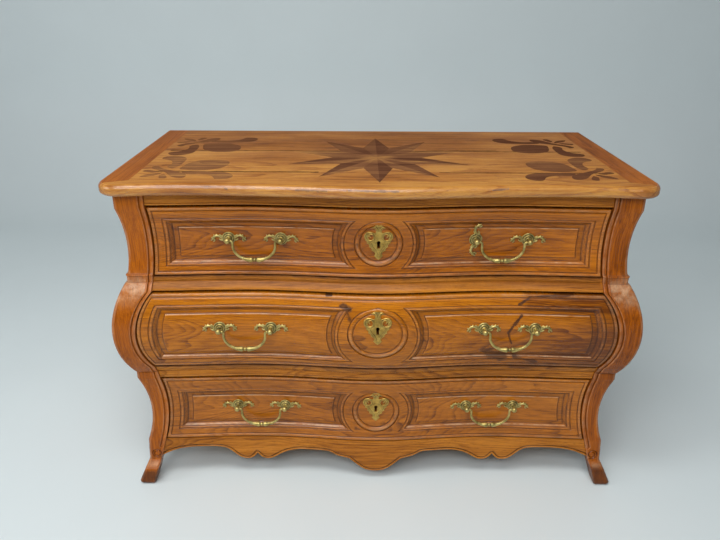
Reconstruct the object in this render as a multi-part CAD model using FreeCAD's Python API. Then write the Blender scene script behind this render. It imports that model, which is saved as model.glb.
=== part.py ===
import FreeCAD, Part
import math
import os
from FreeCAD import Vector

os.makedirs("parts", exist_ok=True)

# Millimetres. X runs to the right, Y to the back, Z up from the floor.
# The middle of the top board stands over the origin.

# heights, from the floor up
apron_top = 127.0
opening_low_height = 198.0
rail_low_height = 41.0
opening_mid_height = 210.0
rail_up_height = 33.0
opening_high_height = 182.0
frieze_height = 31.0
top_thickness = 28.0

# plan
carcass_half_width = 606.0  # stile's outer face at the waist
front_depth = 266.0  # stile's front face at the waist
back_depth = 318.0
top_half_width = 650.0
top_half_depth = 325.0
top_serpentine_drop = 22.0
top_corner_back = 50.0
top_corner_in = 58.0
top_edge_round = 12.0
top_edge_under_round = 9.0
top_end_drop_share = 0.7
top_corner_bow_shares = (0.22, 0.36)
cleat_mitre_share = 0.4
sheet_stations = 7
level_share = 1e-6
rim_share = 0.99
serpentine_middle = 2.0
serpentine_trough = -18.0
serpentine_end = -6.0
trough_half_span = 300.0
serpentine_half_span = 630.0
serpentine_quarter_share = 0.75

# swell of the stiles, out from the waist
neck_out = 13.5
neck_height = 37.0
neck_foot_out = 6.0
neck_foot_rise = 8.0  # bead over the upper rail's lower line
waist_rise = 81.0
bead_out = 11.0
bead_height = 5.0
block_out = 9.0
block_height = 15.0
belly_top_out = 12.0
belly_out = 50.0
belly_foot_out = 17.5
belly_rise = 144.0
belly_foot_rise = 21.0
low_block_out = 16.5
low_waist_out = -4.5
low_waist_front_out = 4.0
low_waist_rise = 85.0
ankle_out = 12.5
ankle_low_out = 15.0
ankle_height = 66.0
instep_out = 38.0
instep_height = 50.0
toe_out = 40.5
toe_height = 11.0
toe_tuck = 4.0

# stiles
stile_depth = 76.0  # waist face to the stile's flat back
stile_strip_width = 11.0
stile_strip_set_back = 3.0
stile_strip_foot = 104.0
ankle_inner_half = 588.0
toe_inner_half = 607.0
leg_depth = 44.0
toe_depth = 40.0
volute_half_span = 601.0
volute_height = 86.0
volute_radius = 12.5
volute_line = 2.5
volute_sunk = 1.6
rear_stile_inner_half = 552.0
rear_stile_depth = 56.0

# half widths of the drawer openings at their low edge, swell and high edge
high_ends = (550.0, 544.0, 548.0)
mid_ends = (569.0, 597.0, 553.0)
low_ends = (571.0, 555.0, 563.0)
high_end_rise = 81.0
mid_end_rise = 114.0
low_end_rise = 103.0

# drawer fronts
front_gap = 2.0
front_top_gap = 6.0
edge_bead = 8.0
edge_line = 2.5
edge_line_sunk = 2.0
panel_end_margin = 28.5
high_panel_half_height = 62.0
mid_panel_half_height = 77.0
low_panel_half_height = 62.5
high_panel_drop = 5.5  # panel's middle below the opening's middle
mid_panel_drop = 4.0
low_panel_drop = 9.0
high_roundel_radius = 60.0
mid_roundel_radius = 71.0
low_roundel_radius = 64.0
high_roundel_drop = 3.0
mid_roundel_drop = -4.0
low_roundel_drop = 8.0
high_roundel_gap = 22.0
mid_roundel_gap = 26.0
low_roundel_gap = 22.0
quirk_width = 3.0
quirk_sunk = 3.0
ovolo_width = 7.0
ovolo_sunk = 1.0
cove_width = 6.0
cove_sunk = 4.5
margin_width = 15.0
margin_sunk = 7.0
field_sunk = 4.0
roundel_bead = 7.0
roundel_field_sunk = 2.0
high_inner_depth = 225.0
mid_inner_depth = 245.0
low_inner_depth = 229.0

# drawer boxes
box_half_width = 536.0
box_back = 240.0
side_thickness = 14.0
bottom_thickness = 9.0
bottom_rise = 8.0
groove_depth = 5.0
box_top_gap = 12.0
run_gap = 0.3
guide_gap = 0.6

# frame members
tenon_length = 26.0
tenon_thickness = 16.0
tenon_shoulder = 5.0
side_set_back = 3.0
side_thickness_out = 22.0
side_tongue = 8.0
side_tongue_depth = 7.0
side_foot = 92.0
side_arch = 22.0
back_board_thickness = 16.0
back_board_count = 4
back_board_inset = 2.0
back_foot = 96.0
rear_rail_thickness = 24.0
rear_rail_height = 31.0
runner_height = 22.0
runner_bearing = 26.0
guide_thickness = 15.0
guide_height = 20.0
dust_board_thickness = 11.0
dust_board_drop = 9.0
apron_thickness = 26.0
apron_lip = 7.0
apron_lip_sunk = 2.0

# scalloped lower edge of the apron, half span and height
apron_edge = (
    (0.0, 26.0), (24.0, 30.0), (49.0, 46.0), (71.0, 66.0), (88.0, 70.0), (106.0, 75.0),
    (122.0, 84.0), (160.0, 88.0), (200.0, 88.0), (237.0, 81.0), (266.0, 66.0), (289.0, 53.0),
    (311.0, 55.0), (326.0, 70.0), (341.0, 55.0), (362.0, 53.0), (385.0, 67.0), (405.0, 86.0),
    (448.0, 96.0), (498.0, 96.0), (547.0, 88.0), (588.0, 70.0),
)
apron_corners = (3, 13)  # sharp points of the scallops

# top boards
cleat_inner_half = 580.0
cleat_front = 262.0
cleat_mitre = 300.0
seam_front = -181.0
seam_rear = 47.0
inlay_thickness = 1.6
star_centre = -28.0
star_radius = 245.0
star_waist_share = 0.48
star_points = 10
star_gap = 0.4
flower_half_span = 494.0
flower_front = -171.0
flower_rear = 140.0
flower_turn = 42.0  # degrees between a flower's own line and the top's length

# handles
handle_spacing = 127.0
high_handle = (299.0, 703.0)
mid_handle = (328.0, 484.0)
low_handle = (307.0, 226.0)
stand_off = 24.4
ball_radius = 7.2
neck_radius = 3.6
collar_radius = 6.2
collar_thickness = 3.0
collar_reach = 15.0
shank_radius = 3.0
shank_gap = 0.1
nut_side = 13.0
nut_thickness = 5.0
pin_radius = 2.0
pin_gap = 0.06
pin_depth = 3.0
bail_half_width = 51.0
bail_drop = 47.0
bail_shoulder = 4.8
bail_straight = 14.0
bail_radius = 3.2
bulb_radius = 5.6
bulb_start = 26.0
bulb_peak = 11.0
bulb_end = 4.0
bail_ring_radius = 5.0
bail_ring_half = 2.0
rosette_thickness = 2.2
seat_gap = 0.3  # brass stands this far off the swelling wood
rosette_dome_radius = 15.0
rosette_arm_length = 43.0
rosette_arm_root = 9.0
rosette_arm_tip = 4.0
rosette_curl_radius = 5.6
rosette_curl_drop = 7.0
rosette_leaf_radius = 5.0
rosette_leaf_span = 23.0
rosette_leaf_rise = 6.5
loose_rosette_turn = -83.0  # degrees; this one hangs turned

# keyhole plates and locks
plate_thickness = 1.6
plate_outline = (
    (0.0, 47.5), (9.0, 46.0), (17.0, 41.0), (9.0, 37.5), (6.5, 33.0), (13.0, 32.5),
    (25.0, 35.0), (35.0, 26.0), (34.0, 14.0), (26.0, 3.0), (18.0, -15.0), (8.0, -26.0),
    (9.0, -33.0), (0.0, -41.0),
)
plate_pocket_share = 1.012
plate_eye_span = 18.0
plate_eye_rise = 19.0
plate_eye_radius = 4.5
key_radius = 4.6
key_slot_width = 6.4
key_slot_length = 15.0
high_key_rise = 3.0  # keyhole above the roundel's middle
mid_key_rise = 17.0
low_key_rise = 15.0
lock_half_width = 46.0
lock_low = 31.0
lock_high = 43.0
lock_thickness = 16.0
lock_key_depth = 10.0
bolt_half_width = 12.0
bolt_thickness = 5.0
bolt_foot = 8.0
bolt_gap = 0.3
bolt_top_gap = 1.0
keeper_half_width = 20.0
keeper_height = 14.0
keeper_drop = 22.0
keeper_thickness = 2.5
mortise_depth = 13.0
mortise_gap = 1.0

# heights and positions that follow from the sizes above
low_top = apron_top + opening_low_height
mid_floor = low_top + rail_low_height
mid_top = mid_floor + opening_mid_height
high_floor = mid_top + rail_up_height
high_top = high_floor + opening_high_height
carcass_top = high_top + frieze_height
full_height = carcass_top + top_thickness
frame_back = stile_depth - front_depth
neck_low = high_floor + neck_foot_rise
block_top = neck_low - bead_height
block_foot = block_top - block_height
low_block_top = low_top + belly_foot_rise
far = full_height


def circle_through(low, middle, high):
    # circle in a plane of (out, height) as centre, radius and side
    ax, az = low
    bx, bz = middle
    cx, cz = high
    turn = 2 * (ax * (bz - cz) + bx * (cz - az) + cx * (az - bz))
    a2 = ax * ax + az * az
    b2 = bx * bx + bz * bz
    c2 = cx * cx + cz * cz
    ox = (a2 * (bz - cz) + b2 * (cz - az) + c2 * (az - bz)) / turn
    oz = (a2 * (cx - bx) + b2 * (ax - cx) + c2 * (bx - ax)) / turn
    return ox, oz, math.hypot(ax - ox, az - oz), math.copysign(1, bx - ox)


def out_on(circle, height):
    ox, oz, radius, side = circle
    return ox + side * math.sqrt(radius * radius - (height - oz) ** 2)


neck_arc = circle_through(
    (neck_foot_out, neck_low), (0, high_floor + waist_rise), (neck_out, carcass_top - neck_height))
belly_arc = circle_through(
    (belly_foot_out, low_block_top), (belly_out, low_top + belly_rise), (belly_top_out, block_foot))
low_arc = circle_through(
    (ankle_out, apron_top), (low_waist_out, apron_top + low_waist_rise), (low_block_out, low_top))
low_front_arc = circle_through(
    (ankle_out, apron_top), (low_waist_front_out, apron_top + low_waist_rise), (low_block_out, low_top))


def flat_out(out):
    return lambda height: out


def arc_out(arc):
    return lambda height: out_on(arc, height)


# serpentine of the front in plan

def serpentine_curve():
    spans = [-serpentine_half_span, -serpentine_half_span * serpentine_quarter_share]
    middles = [-trough_half_span, -trough_half_span / 2]
    half = (serpentine_middle + serpentine_trough) / 2
    rise = (serpentine_trough + serpentine_end) / 2
    left = [
        (spans[0], serpentine_end), (spans[1], rise),
        (middles[0], serpentine_trough), (middles[1], half),
    ]
    right = [(-x, s) for x, s in reversed(left)]
    points = [Vector(x, s, 0) for x, s in left + [(0, serpentine_middle)] + right]
    curve = Part.BSplineCurve()
    curve.interpolate(points)
    return curve


serpentine = serpentine_curve()


def serpentine_at(x):
    line = Part.makeLine(Vector(x, -far, 0), Vector(x, far, 0))
    return serpentine.toShape().distToShape(line)[1][0][0].y


def steps(low, high, count):
    return [low + (high - low) * i / (count - 1) for i in range(count)]


# sheet that swells with the stiles and follows the serpentine
def front_sheet(low, high, out, set_back):
    rise = Part.BSplineCurve()
    rise.interpolate([Vector(out(z), 0, z) for z in steps(low, high, sheet_stations)])
    poles = [
        [Vector(a.x, set_back - front_depth - a.y - b.x, b.z) for b in rise.getPoles()]
        for a in serpentine.getPoles()
    ]
    sheet = Part.BSplineSurface()
    sheet.buildFromPolesMultsKnots(
        poles, serpentine.getMultiplicities(), rise.getMultiplicities(),
        serpentine.getKnots(), rise.getKnots(), False, False, serpentine.Degree, rise.Degree)
    return sheet.toShape()


def front_slab(low, high, out, near, deep):
    return front_sheet(low, high, out, near).extrude(Vector(0, deep - near, 0))


def wire_of(edges):
    return Part.Wire(Part.__sortEdges__(edges))


def line(a, b):
    return Part.makeLine(a, b)


def arc(a, b, c):
    return Part.Arc(a, b, c).toShape()


def upright(x, z):
    return Vector(x, 0, z)


# the first wire is the outline, any other is a hole
def along_y(wires, start, end):
    bodies = []
    for wire in wires:
        face = Part.Face(wire)
        face.translate(Vector(0, start, 0))
        bodies.append(face.extrude(Vector(0, end - start, 0)))
    return bodies[0].cut(bodies[1]) if len(bodies) > 1 else bodies[0]


def box(x0, x1, y0, y1, z0, z1):
    return Part.makeBox(x1 - x0, y1 - y0, z1 - z0, Vector(x0, y0, z0))


def mirrored(shape):
    return shape.mirror(Vector(0, 0, 0), Vector(1, 0, 0))


def save(name, *shapes):
    solids = [solid for shape in shapes for solid in shape.Solids]
    body = solids[0] if len(solids) == 1 else Part.makeCompound(solids)
    if not body.isValid():
        print("not valid", name)
    body.exportStep("parts/" + name + ".step")


# Drawer openings: floor, top, end arc, swell, panel middle and sizes

class Opening:
    def __init__(self, name, floor, top, ends, end_rise, out, panel, roundel, inner, handle):
        self.name = name
        self.floor = floor
        self.top = top
        self.out = out
        self.end_arc = circle_through(
            (ends[0], floor), (ends[1], floor + end_rise), (ends[2], top))
        self.half_height, panel_drop = panel
        self.radius, self.gap, roundel_drop, key_rise = roundel
        self.inner = inner
        self.handle = handle
        self.middle = (floor + top) / 2 - panel_drop
        self.roundel = (floor + top) / 2 - roundel_drop
        self.key = self.roundel + key_rise
        self.front_floor = floor + front_gap
        self.front_top = top - front_top_gap

    def end(self, height):
        return out_on(self.end_arc, height)

    def surface(self, x, height):
        return -front_depth - self.out(height) - serpentine_at(x)


openings = [
    Opening("high", high_floor, high_top, high_ends, high_end_rise, arc_out(neck_arc),
            (high_panel_half_height, high_panel_drop),
            (high_roundel_radius, high_roundel_gap, high_roundel_drop, high_key_rise),
            high_inner_depth, high_handle),
    Opening("mid", mid_floor, mid_top, mid_ends, mid_end_rise, arc_out(belly_arc),
            (mid_panel_half_height, mid_panel_drop),
            (mid_roundel_radius, mid_roundel_gap, mid_roundel_drop, mid_key_rise),
            mid_inner_depth, mid_handle),
    Opening("low", apron_top, low_top, low_ends, low_end_rise, arc_out(low_front_arc),
            (low_panel_half_height, low_panel_drop),
            (low_roundel_radius, low_roundel_gap, low_roundel_drop, low_key_rise),
            low_inner_depth, low_handle),
]
high, mid, low = openings


# outline of a drawer front drawn in by an inset
def front_wire(o, inset):
    z0 = o.front_floor + inset
    z1 = o.front_top - inset
    zm = (z0 + z1) / 2
    right = [upright(o.end(z) - front_gap - inset, z) for z in (z0, zm, z1)]
    left = [upright(-p.x, p.z) for p in right]
    return wire_of([arc(*right), line(right[2], left[2]), arc(*left), line(left[0], right[0])])


def panel_wire(o, inset):
    z0 = o.middle - o.half_height + inset
    z1 = o.middle + o.half_height - inset
    reach = o.radius + o.gap + inset
    near = math.sqrt(reach * reach - (z1 - o.middle) ** 2)
    end = [upright(o.end(z) - panel_end_margin - inset, z) for z in (z0, o.middle, z1)]
    inner = [upright(near, z0), upright(reach, o.middle), upright(near, z1)]
    return wire_of([arc(*end), line(end[2], inner[2]), arc(*inner), line(inner[0], end[0])])


def ring_wire(o, radius):
    circle = Part.Circle(upright(0, o.roundel), Vector(0, 1, 0), radius)
    return Part.Wire([circle.toShape()])


def keyhole(o, start, end):
    centre = upright(0, o.key)
    start_point = centre + Vector(0, start, 0)
    round_part = Part.makeCylinder(key_radius, end - start, start_point, Vector(0, 1, 0))
    slot = box(-key_slot_width / 2, key_slot_width / 2, start, end,
               o.key - key_slot_length, o.key)
    return round_part.fuse(slot)


def drawer_front(o):
    z0 = o.front_floor
    z1 = o.front_top
    outline = along_y([front_wire(o, 0)], -far, -o.inner)
    front = outline.common(front_slab(z0, z1, o.out, 0, far))

    def sunk(wires, depth, flip=False):
        tool = along_y(wires, -far, far).common(front_slab(z0, z1, o.out, -far / 4, depth))
        return mirrored(tool) if flip else tool

    rings = [(0, quirk_sunk), (quirk_width, ovolo_sunk), (quirk_width + ovolo_width, cove_sunk)]
    rings.append((quirk_width + ovolo_width + cove_width, margin_sunk))
    rings.append((quirk_width + ovolo_width + cove_width + margin_width, field_sunk))
    tools = []
    for i, (inset, depth) in enumerate(rings):
        wires = [panel_wire(o, inset)]
        if i + 1 < len(rings):
            wires.append(panel_wire(o, rings[i + 1][0]))
        tools.append(sunk(wires, depth))
        tools.append(mirrored(tools[-1]))
    ring = o.radius - quirk_width
    tools.append(sunk([ring_wire(o, o.radius), ring_wire(o, ring)], quirk_sunk))
    tools.append(sunk([ring_wire(o, ring - roundel_bead), ring_wire(o, ring - roundel_bead - quirk_width)],
                      quirk_sunk))
    tools.append(sunk([ring_wire(o, ring - roundel_bead - quirk_width)], roundel_field_sunk))
    tools.append(sunk([front_wire(o, edge_bead), front_wire(o, edge_bead + edge_line)], edge_line_sunk))
    tools.append(sunk([plate_pocket(o)], roundel_field_sunk))
    for tool in tools:
        front = front.cut(tool)
    front = front.cut(keyhole(o, -far, far))
    for x in post_spans(o):
        foot = Vector(x, -far, o.handle[1])
        front = front.cut(Part.makeCylinder(shank_radius + shank_gap, 2 * far, foot, Vector(0, 1, 0)))
    return front.cut(drawer_bottom(o))


def post_spans(o):
    centre = o.handle[0]
    spans = [centre - handle_spacing / 2, centre + handle_spacing / 2]
    return [-x for x in reversed(spans)] + spans


def box_floor(o):
    return o.floor + run_gap


def drawer_bottom(o):
    z0 = box_floor(o) + bottom_rise
    reach = box_half_width - side_thickness + groove_depth
    return box(-reach, reach, -o.inner - groove_depth, box_back, z0, z0 + bottom_thickness)


def drawer_side(o):
    side = box(box_half_width - side_thickness, box_half_width, -o.inner, box_back,
               box_floor(o), o.top - box_top_gap)
    return side.cut(drawer_bottom(o))


def drawer_back(o):
    reach = box_half_width - side_thickness
    z0 = box_floor(o) + bottom_rise + bottom_thickness
    return box(-reach, reach, box_back - side_thickness, box_back, z0, o.top - box_top_gap)


# Stiles

def stile_edges(place, low, foot):
    # edges of the swelling face from the top to the toe, then the toe's underside point
    def p(out, height):
        return place(out, height)

    def swell(circle, z0, z1):
        return arc(*[p(out_on(circle, z), z) for z in (z0, (z0 + z1) / 2, z1)])

    edges = [line(p(neck_out, carcass_top), p(neck_out, carcass_top - neck_height))]
    edges.append(swell(neck_arc, carcass_top - neck_height, neck_low))
    bead_middle = neck_low - bead_height / 2
    edges.append(arc(p(neck_foot_out, neck_low), p(bead_out, bead_middle), p(block_out, block_top)))
    edges.append(line(p(block_out, block_top), p(block_out, block_foot)))
    edges.append(line(p(block_out, block_foot), p(belly_top_out, block_foot)))
    edges.append(swell(belly_arc, block_foot, low_block_top))
    edges.append(line(p(belly_foot_out, low_block_top), p(low_block_out, low_block_top)))
    edges.append(line(p(low_block_out, low_block_top), p(low_block_out, low_top)))
    edges.append(swell(low, low_top, apron_top))
    edges.append(line(p(ankle_out, apron_top), p(ankle_low_out, ankle_height)))
    last = (ankle_low_out, ankle_height)
    for point in foot:
        edges.append(line(p(*last), p(*point)))
        last = point
    return edges, p(*last)


toe = [(toe_out, toe_height), (toe_out - toe_tuck, 0)]
instep = [(instep_out, instep_height)] + toe


def outer_edges(shift=0):
    def place(out, height):
        return upright(carcass_half_width + out - shift, height)
    return stile_edges(place, low_arc, toe)


def inner_edges(shift):
    # edges beside the drawers, from the top down to the toe
    def p(x, z):
        return upright(x + shift, z)

    edges = []
    last = p(high.end(high.top), carcass_top)
    for o in openings:
        points = [p(o.end(z), z) for z in (o.top, (o.top + o.floor) / 2, o.floor)]
        edges.append(line(last, points[0]))
        edges.append(arc(*points))
        last = points[2]
    edges.append(line(last, p(ankle_inner_half, ankle_height)))
    edges.append(line(p(ankle_inner_half, ankle_height), p(toe_inner_half, 0)))
    return edges, p(toe_inner_half, 0)


def side_view(set_back):
    # the front stile seen from the side
    def place(out, height):
        return Vector(0, set_back - front_depth - out, height)

    edges, last = stile_edges(place, low_front_arc, instep)
    heel = Vector(0, last.y + toe_depth, 0)
    ankle = Vector(0, leg_depth - front_depth - ankle_low_out, ankle_height)
    knee = Vector(0, frame_back, apron_top)
    head = Vector(0, frame_back, carcass_top)
    edges += [line(last, heel), line(heel, ankle), line(ankle, knee), line(knee, head)]
    edges.append(line(head, edges[0].Vertexes[0].Point))
    face = Part.Face(wire_of(edges))
    return face.extrude(Vector(far, 0, 0))


def front_view(inner_shift, outer=None):
    edges, toe_point = outer if outer else outer_edges()
    inner, heel = inner_edges(inner_shift)
    close = [line(edges[0].Vertexes[0].Point, inner[0].Vertexes[0].Point), line(toe_point, heel)]
    return along_y([wire_of(edges + inner + close)], -far, far)


def tenon(o_low, o_high, z0, z1):
    y0 = frame_back - stile_depth / 2
    x = min(o_low.end(o_low.top), o_high.end(o_high.floor)) - tenon_length
    return box(x, x + 2 * tenon_length, y0, y0 + tenon_thickness,
               z0 + tenon_shoulder, z1 - tenon_shoulder)


def rail_tenons():
    return [
        tenon(high, high, high_top, carcass_top), tenon(mid, high, mid_top, high_floor),
        tenon(low, mid, low_top, mid_floor), tenon(low, low, apron_top - rear_rail_height, apron_top),
    ]


def side_profile(inner, outer):
    # swelling section of the side, between two distances in from the stile's face
    face, _ = outer_edges(outer)
    back, _ = outer_edges(inner)
    face = face[:9]
    back = back[:9]
    drop = side_foot - apron_top
    foot_out = face[-1].Vertexes[-1].Point
    foot_in = back[-1].Vertexes[-1].Point
    low_out = foot_out + Vector(0, 0, drop)
    low_in = foot_in + Vector(0, 0, drop)
    close = [line(face[0].Vertexes[0].Point, back[0].Vertexes[0].Point), line(foot_out, low_out),
             line(low_out, low_in), line(low_in, foot_in)]
    return wire_of(face + back + close)


rear_front = back_depth - rear_stile_depth
side_tongue_solid = along_y(
    [side_profile(side_set_back + (side_thickness_out + side_tongue) / 2,
                  side_set_back + (side_thickness_out - side_tongue) / 2)],
    frame_back - side_tongue_depth, rear_front + side_tongue_depth)
side_section = side_profile(side_set_back + side_thickness_out, side_set_back)
side_body = along_y([side_section], frame_back, rear_front)
side_panel = side_body.fuse(side_tongue_solid).removeSplitter()
arch = [
    Vector(0, frame_back - side_tongue_depth, side_foot),
    Vector(0, (frame_back + rear_front) / 2, side_foot + side_arch),
    Vector(0, rear_front + side_tongue_depth, side_foot),
]
arch_face = Part.Face(wire_of([arc(*arch), line(arch[2], arch[0])]))
side_panel = side_panel.cut(arch_face.extrude(Vector(far, 0, 0)))

broad = front_view(stile_strip_width).common(side_view(0))
narrow = front_view(0).common(side_view(stile_strip_set_back))
below_strip = box(0, far, -far, far, 0, stile_strip_foot)
foot_block = front_view(0).common(side_view(0)).common(below_strip)
front_stile = broad.fuse([narrow, foot_block])
for rail_tenon in rail_tenons():
    front_stile = front_stile.cut(rail_tenon)
volute_face = -front_depth - ankle_low_out
volute_start = Vector(volute_half_span, volute_face - stile_depth, volute_height)
volute = Part.makeCylinder(volute_radius, stile_depth, volute_start, Vector(0, 1, 0))
volute_core = Part.makeCylinder(volute_radius - volute_line, stile_depth, volute_start, Vector(0, 1, 0))
volute_ring = volute.cut(volute_core)
volute_ring.translate(Vector(0, volute_sunk, 0))
front_stile = front_stile.cut(volute_ring).cut(side_panel).removeSplitter()

edges, toe_point = outer_edges()
rear_head = upright(rear_stile_inner_half, carcass_top)
rear_knee = upright(rear_stile_inner_half, apron_top)
rear_ankle = upright(ankle_inner_half, ankle_height)
rear_heel = upright(toe_inner_half, 0)
edges += [line(edges[0].Vertexes[0].Point, rear_head), line(rear_head, rear_knee),
          line(rear_knee, rear_ankle), line(rear_ankle, rear_heel), line(rear_heel, toe_point)]
rear_stile = along_y([wire_of(edges)], rear_front, back_depth).cut(side_panel)

for side, turn in (("right", lambda s: s), ("left", mirrored)):
    save("stile_front_" + side, turn(front_stile))
    save("stile_rear_" + side, turn(rear_stile))
    save("side_panel_" + side, turn(side_panel))


# Rails between the drawers

def between_stiles(z0, z1, below, above):
    # upright outline that meets the stiles' inner faces
    low_x = below
    high_x = above
    points = [upright(low_x, z0), upright(high_x, z1), upright(-high_x, z1), upright(-low_x, z0)]
    return along_y([Part.makePolygon(points + points[:1])], -far, frame_back)


def bolt_mortise(o):
    y0 = -o.inner - mortise_gap
    y1 = -o.inner + bolt_gap + bolt_thickness + mortise_gap
    reach = bolt_half_width + mortise_gap
    return box(-reach, reach, y0, y1, o.top - mortise_depth, o.top + mortise_depth)


def front_rail(z0, z1, below, above, zones, tenon_solid, o):
    outline = between_stiles(z0, z1, below, above)
    parts = [outline.common(front_slab(a, b, out, 0, far)) for a, b, out in zones]
    rail = parts[0]
    for part in parts[1:]:
        rail = rail.fuse(part)
    rail = rail.fuse([tenon_solid, mirrored(tenon_solid)]).removeSplitter()
    return rail.cut(bolt_mortise(o)) if o else rail


tenons = rail_tenons()
save("rail_frieze", front_rail(
    high_top, carcass_top, high.end(high_top), high.end(high_top),
    [(high_top, carcass_top, flat_out(neck_out))], tenons[0], high))
save("rail_upper", front_rail(
    mid_top, high_floor, mid.end(mid_top), high.end(high_floor),
    [(mid_top, block_foot, arc_out(belly_arc)), (block_foot, high_floor, flat_out(block_out))],
    tenons[1], mid))
save("rail_lower", front_rail(
    low_top, mid_floor, low.end(low_top), mid.end(mid_floor),
    [(low_top, low_block_top, flat_out(low_block_out)), (low_block_top, mid_floor, arc_out(belly_arc))],
    tenons[2], low))


# Apron with its scalloped edge

def leg_inner(height):
    share = (apron_top - height) / (apron_top - ankle_height)
    return low.end(apron_top) + share * (ankle_inner_half - low.end(apron_top))


def apron_wire(rise):
    right = [upright(x, z + rise) for x, z in apron_edge]
    points = [upright(-p.x, p.z) for p in reversed(right[1:])] + right
    count = len(apron_edge) - 1
    corners = sorted([count + i for i in apron_corners] + [count - i for i in apron_corners])
    edges = []
    start = 0
    for corner in corners + [len(points) - 1]:
        curve = Part.BSplineCurve()
        curve.interpolate(points[start:corner + 1])
        edges.append(curve.toShape())
        start = corner
    top_left = upright(points[0].x, apron_top)
    top_right = upright(points[-1].x, apron_top)
    edges += [line(points[0], top_left), line(top_left, top_right), line(top_right, points[-1])]
    return wire_of(edges)


apron_low = min(z for x, z in apron_edge)
apron_foot = apron_low - apron_thickness
apron_sheet = flat_out(ankle_out)
apron_back = front_slab(apron_foot, apron_top, apron_sheet, apron_lip_sunk, apron_thickness)
apron_face = front_slab(apron_foot, apron_top, apron_sheet, 0, apron_thickness)
apron_ends = between_stiles(apron_foot, apron_top, leg_inner(apron_foot), leg_inner(apron_top))
apron = along_y([apron_wire(0)], -far, far).common(apron_back)
apron = apron.fuse(along_y([apron_wire(apron_lip)], -far, far).common(apron_face))
apron = apron.common(apron_ends)
apron_block = between_stiles(apron_top - rear_rail_height, apron_top,
                             leg_inner(apron_top - rear_rail_height), leg_inner(apron_top))
apron_bar = apron_block.common(front_slab(apron_foot, apron_top, apron_sheet, apron_thickness, far))
apron = apron.fuse([apron_bar, tenons[3], mirrored(tenons[3])]).removeSplitter()
save("apron", apron)

# Back, runners and dust board
board_front = back_depth - back_board_inset - back_board_thickness
board_width = 2 * rear_stile_inner_half / back_board_count
boards = []
for i in range(back_board_count):
    x0 = -rear_stile_inner_half + i * board_width
    boards.append(box(x0, x0 + board_width, board_front, board_front + back_board_thickness,
                      back_foot, carcass_top))
save("back_boards", *boards)
rear_rail_front = board_front - rear_rail_thickness
save("rear_rails",
     box(-rear_stile_inner_half, rear_stile_inner_half, rear_rail_front, board_front,
         carcass_top - rear_rail_height, carcass_top),
     box(-rear_stile_inner_half, rear_stile_inner_half, rear_rail_front, board_front,
         apron_top - rear_rail_height, apron_top))
for o in openings:
    inner_x = box_half_width - runner_bearing
    guide_x = box_half_width + guide_gap
    end_y = rear_rail_front if o is low else board_front
    runner = box(inner_x, guide_x + guide_thickness, frame_back, end_y, o.floor - runner_height, o.floor)
    guide = box(guide_x, guide_x + guide_thickness, frame_back, end_y, o.floor, o.floor + guide_height)
    runner = runner.fuse(guide).removeSplitter()
    save("runners_" + o.name, runner, mirrored(runner))
dust_reach = box_half_width - runner_bearing
save("dust_board", box(-dust_reach, dust_reach, frame_back, rear_rail_front,
                       apron_top - dust_board_drop - dust_board_thickness, apron_top - dust_board_drop))


# Top: one moulded slab parted into planks and end cleats

def top_curve():
    front = -top_half_depth
    drop = top_serpentine_drop
    ends = top_half_width - top_corner_in
    half = [(-ends, front + drop * top_end_drop_share), (-trough_half_span, front + drop),
            (-trough_half_span / 2, front + drop / 2)]
    points = half + [(0, front)] + [(-x, y) for x, y in reversed(half)]
    curve = Part.BSplineCurve()
    curve.interpolate([Vector(x, y, carcass_top) for x, y in points])
    return curve, points[0]


front_curve, corner_start = top_curve()
corner_y = corner_start[1]
side_y = corner_y + top_corner_back
bow_in, bow_back = top_corner_bow_shares
corner_mid = Vector(
    top_half_width - top_corner_in * bow_in, corner_y + top_corner_back * bow_back, carcass_top)
corner_end = Vector(top_half_width, side_y, carcass_top)
right_corner = [Vector(-corner_start[0], corner_y, carcass_top), corner_mid, corner_end]
left_corner = [Vector(-p.x, p.y, p.z) for p in right_corner]
back_right = Vector(top_half_width, top_half_depth, carcass_top)
back_left = Vector(-top_half_width, top_half_depth, carcass_top)
top_wire = wire_of([
    front_curve.toShape(), arc(*right_corner), line(right_corner[2], back_right), line(back_right, back_left),
    line(back_left, left_corner[2]), arc(*left_corner)])
top_slab = Part.Face(top_wire).extrude(Vector(0, 0, top_thickness))


def rim_edges(shape, height):
    picked = []
    for edge in shape.Edges:
        bounds = edge.BoundBox
        off = max(abs(bounds.ZMin - height), abs(bounds.ZMax - height))
        if off < top_corner_in * level_share and bounds.YMin < top_half_depth * rim_share:
            picked.append(edge)
    return picked


top_slab = top_slab.makeFillet(top_edge_round, rim_edges(top_slab, full_height))
top_slab = top_slab.makeFillet(top_edge_under_round, rim_edges(top_slab, carcass_top))


def plan_prism(points, z0, z1):
    corners = [Vector(x, y, z0) for x, y in points]
    return Part.Face(Part.makePolygon(corners + corners[:1])).extrude(Vector(0, 0, z1 - z0))


def star_pieces():
    # each point is two long triangles, parted along the point's own line
    pieces = []
    turn = 2 * math.pi / star_points
    for i in range(star_points):
        middle = math.pi / 2 + i * turn
        tip = (star_radius * math.cos(middle), star_radius * math.sin(middle))
        for side in (-1, 1):
            edge = middle + side * turn / 2
            reach = star_radius * star_waist_share
            waist = (reach * math.cos(edge), reach * math.sin(edge))
            middle_x = (tip[0] + waist[0]) / 3
            middle_y = (tip[1] + waist[1]) / 3
            trim = 1 - star_gap / reach
            points = [(0, 0), tip, waist]
            points = [(middle_x + (x - middle_x) * trim, middle_y + (y - middle_y) * trim) for x, y in points]
            points = [(x, y + star_centre) for x, y in points]
            pieces.append(plan_prism(points, full_height - inlay_thickness, full_height))
    return pieces


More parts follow.
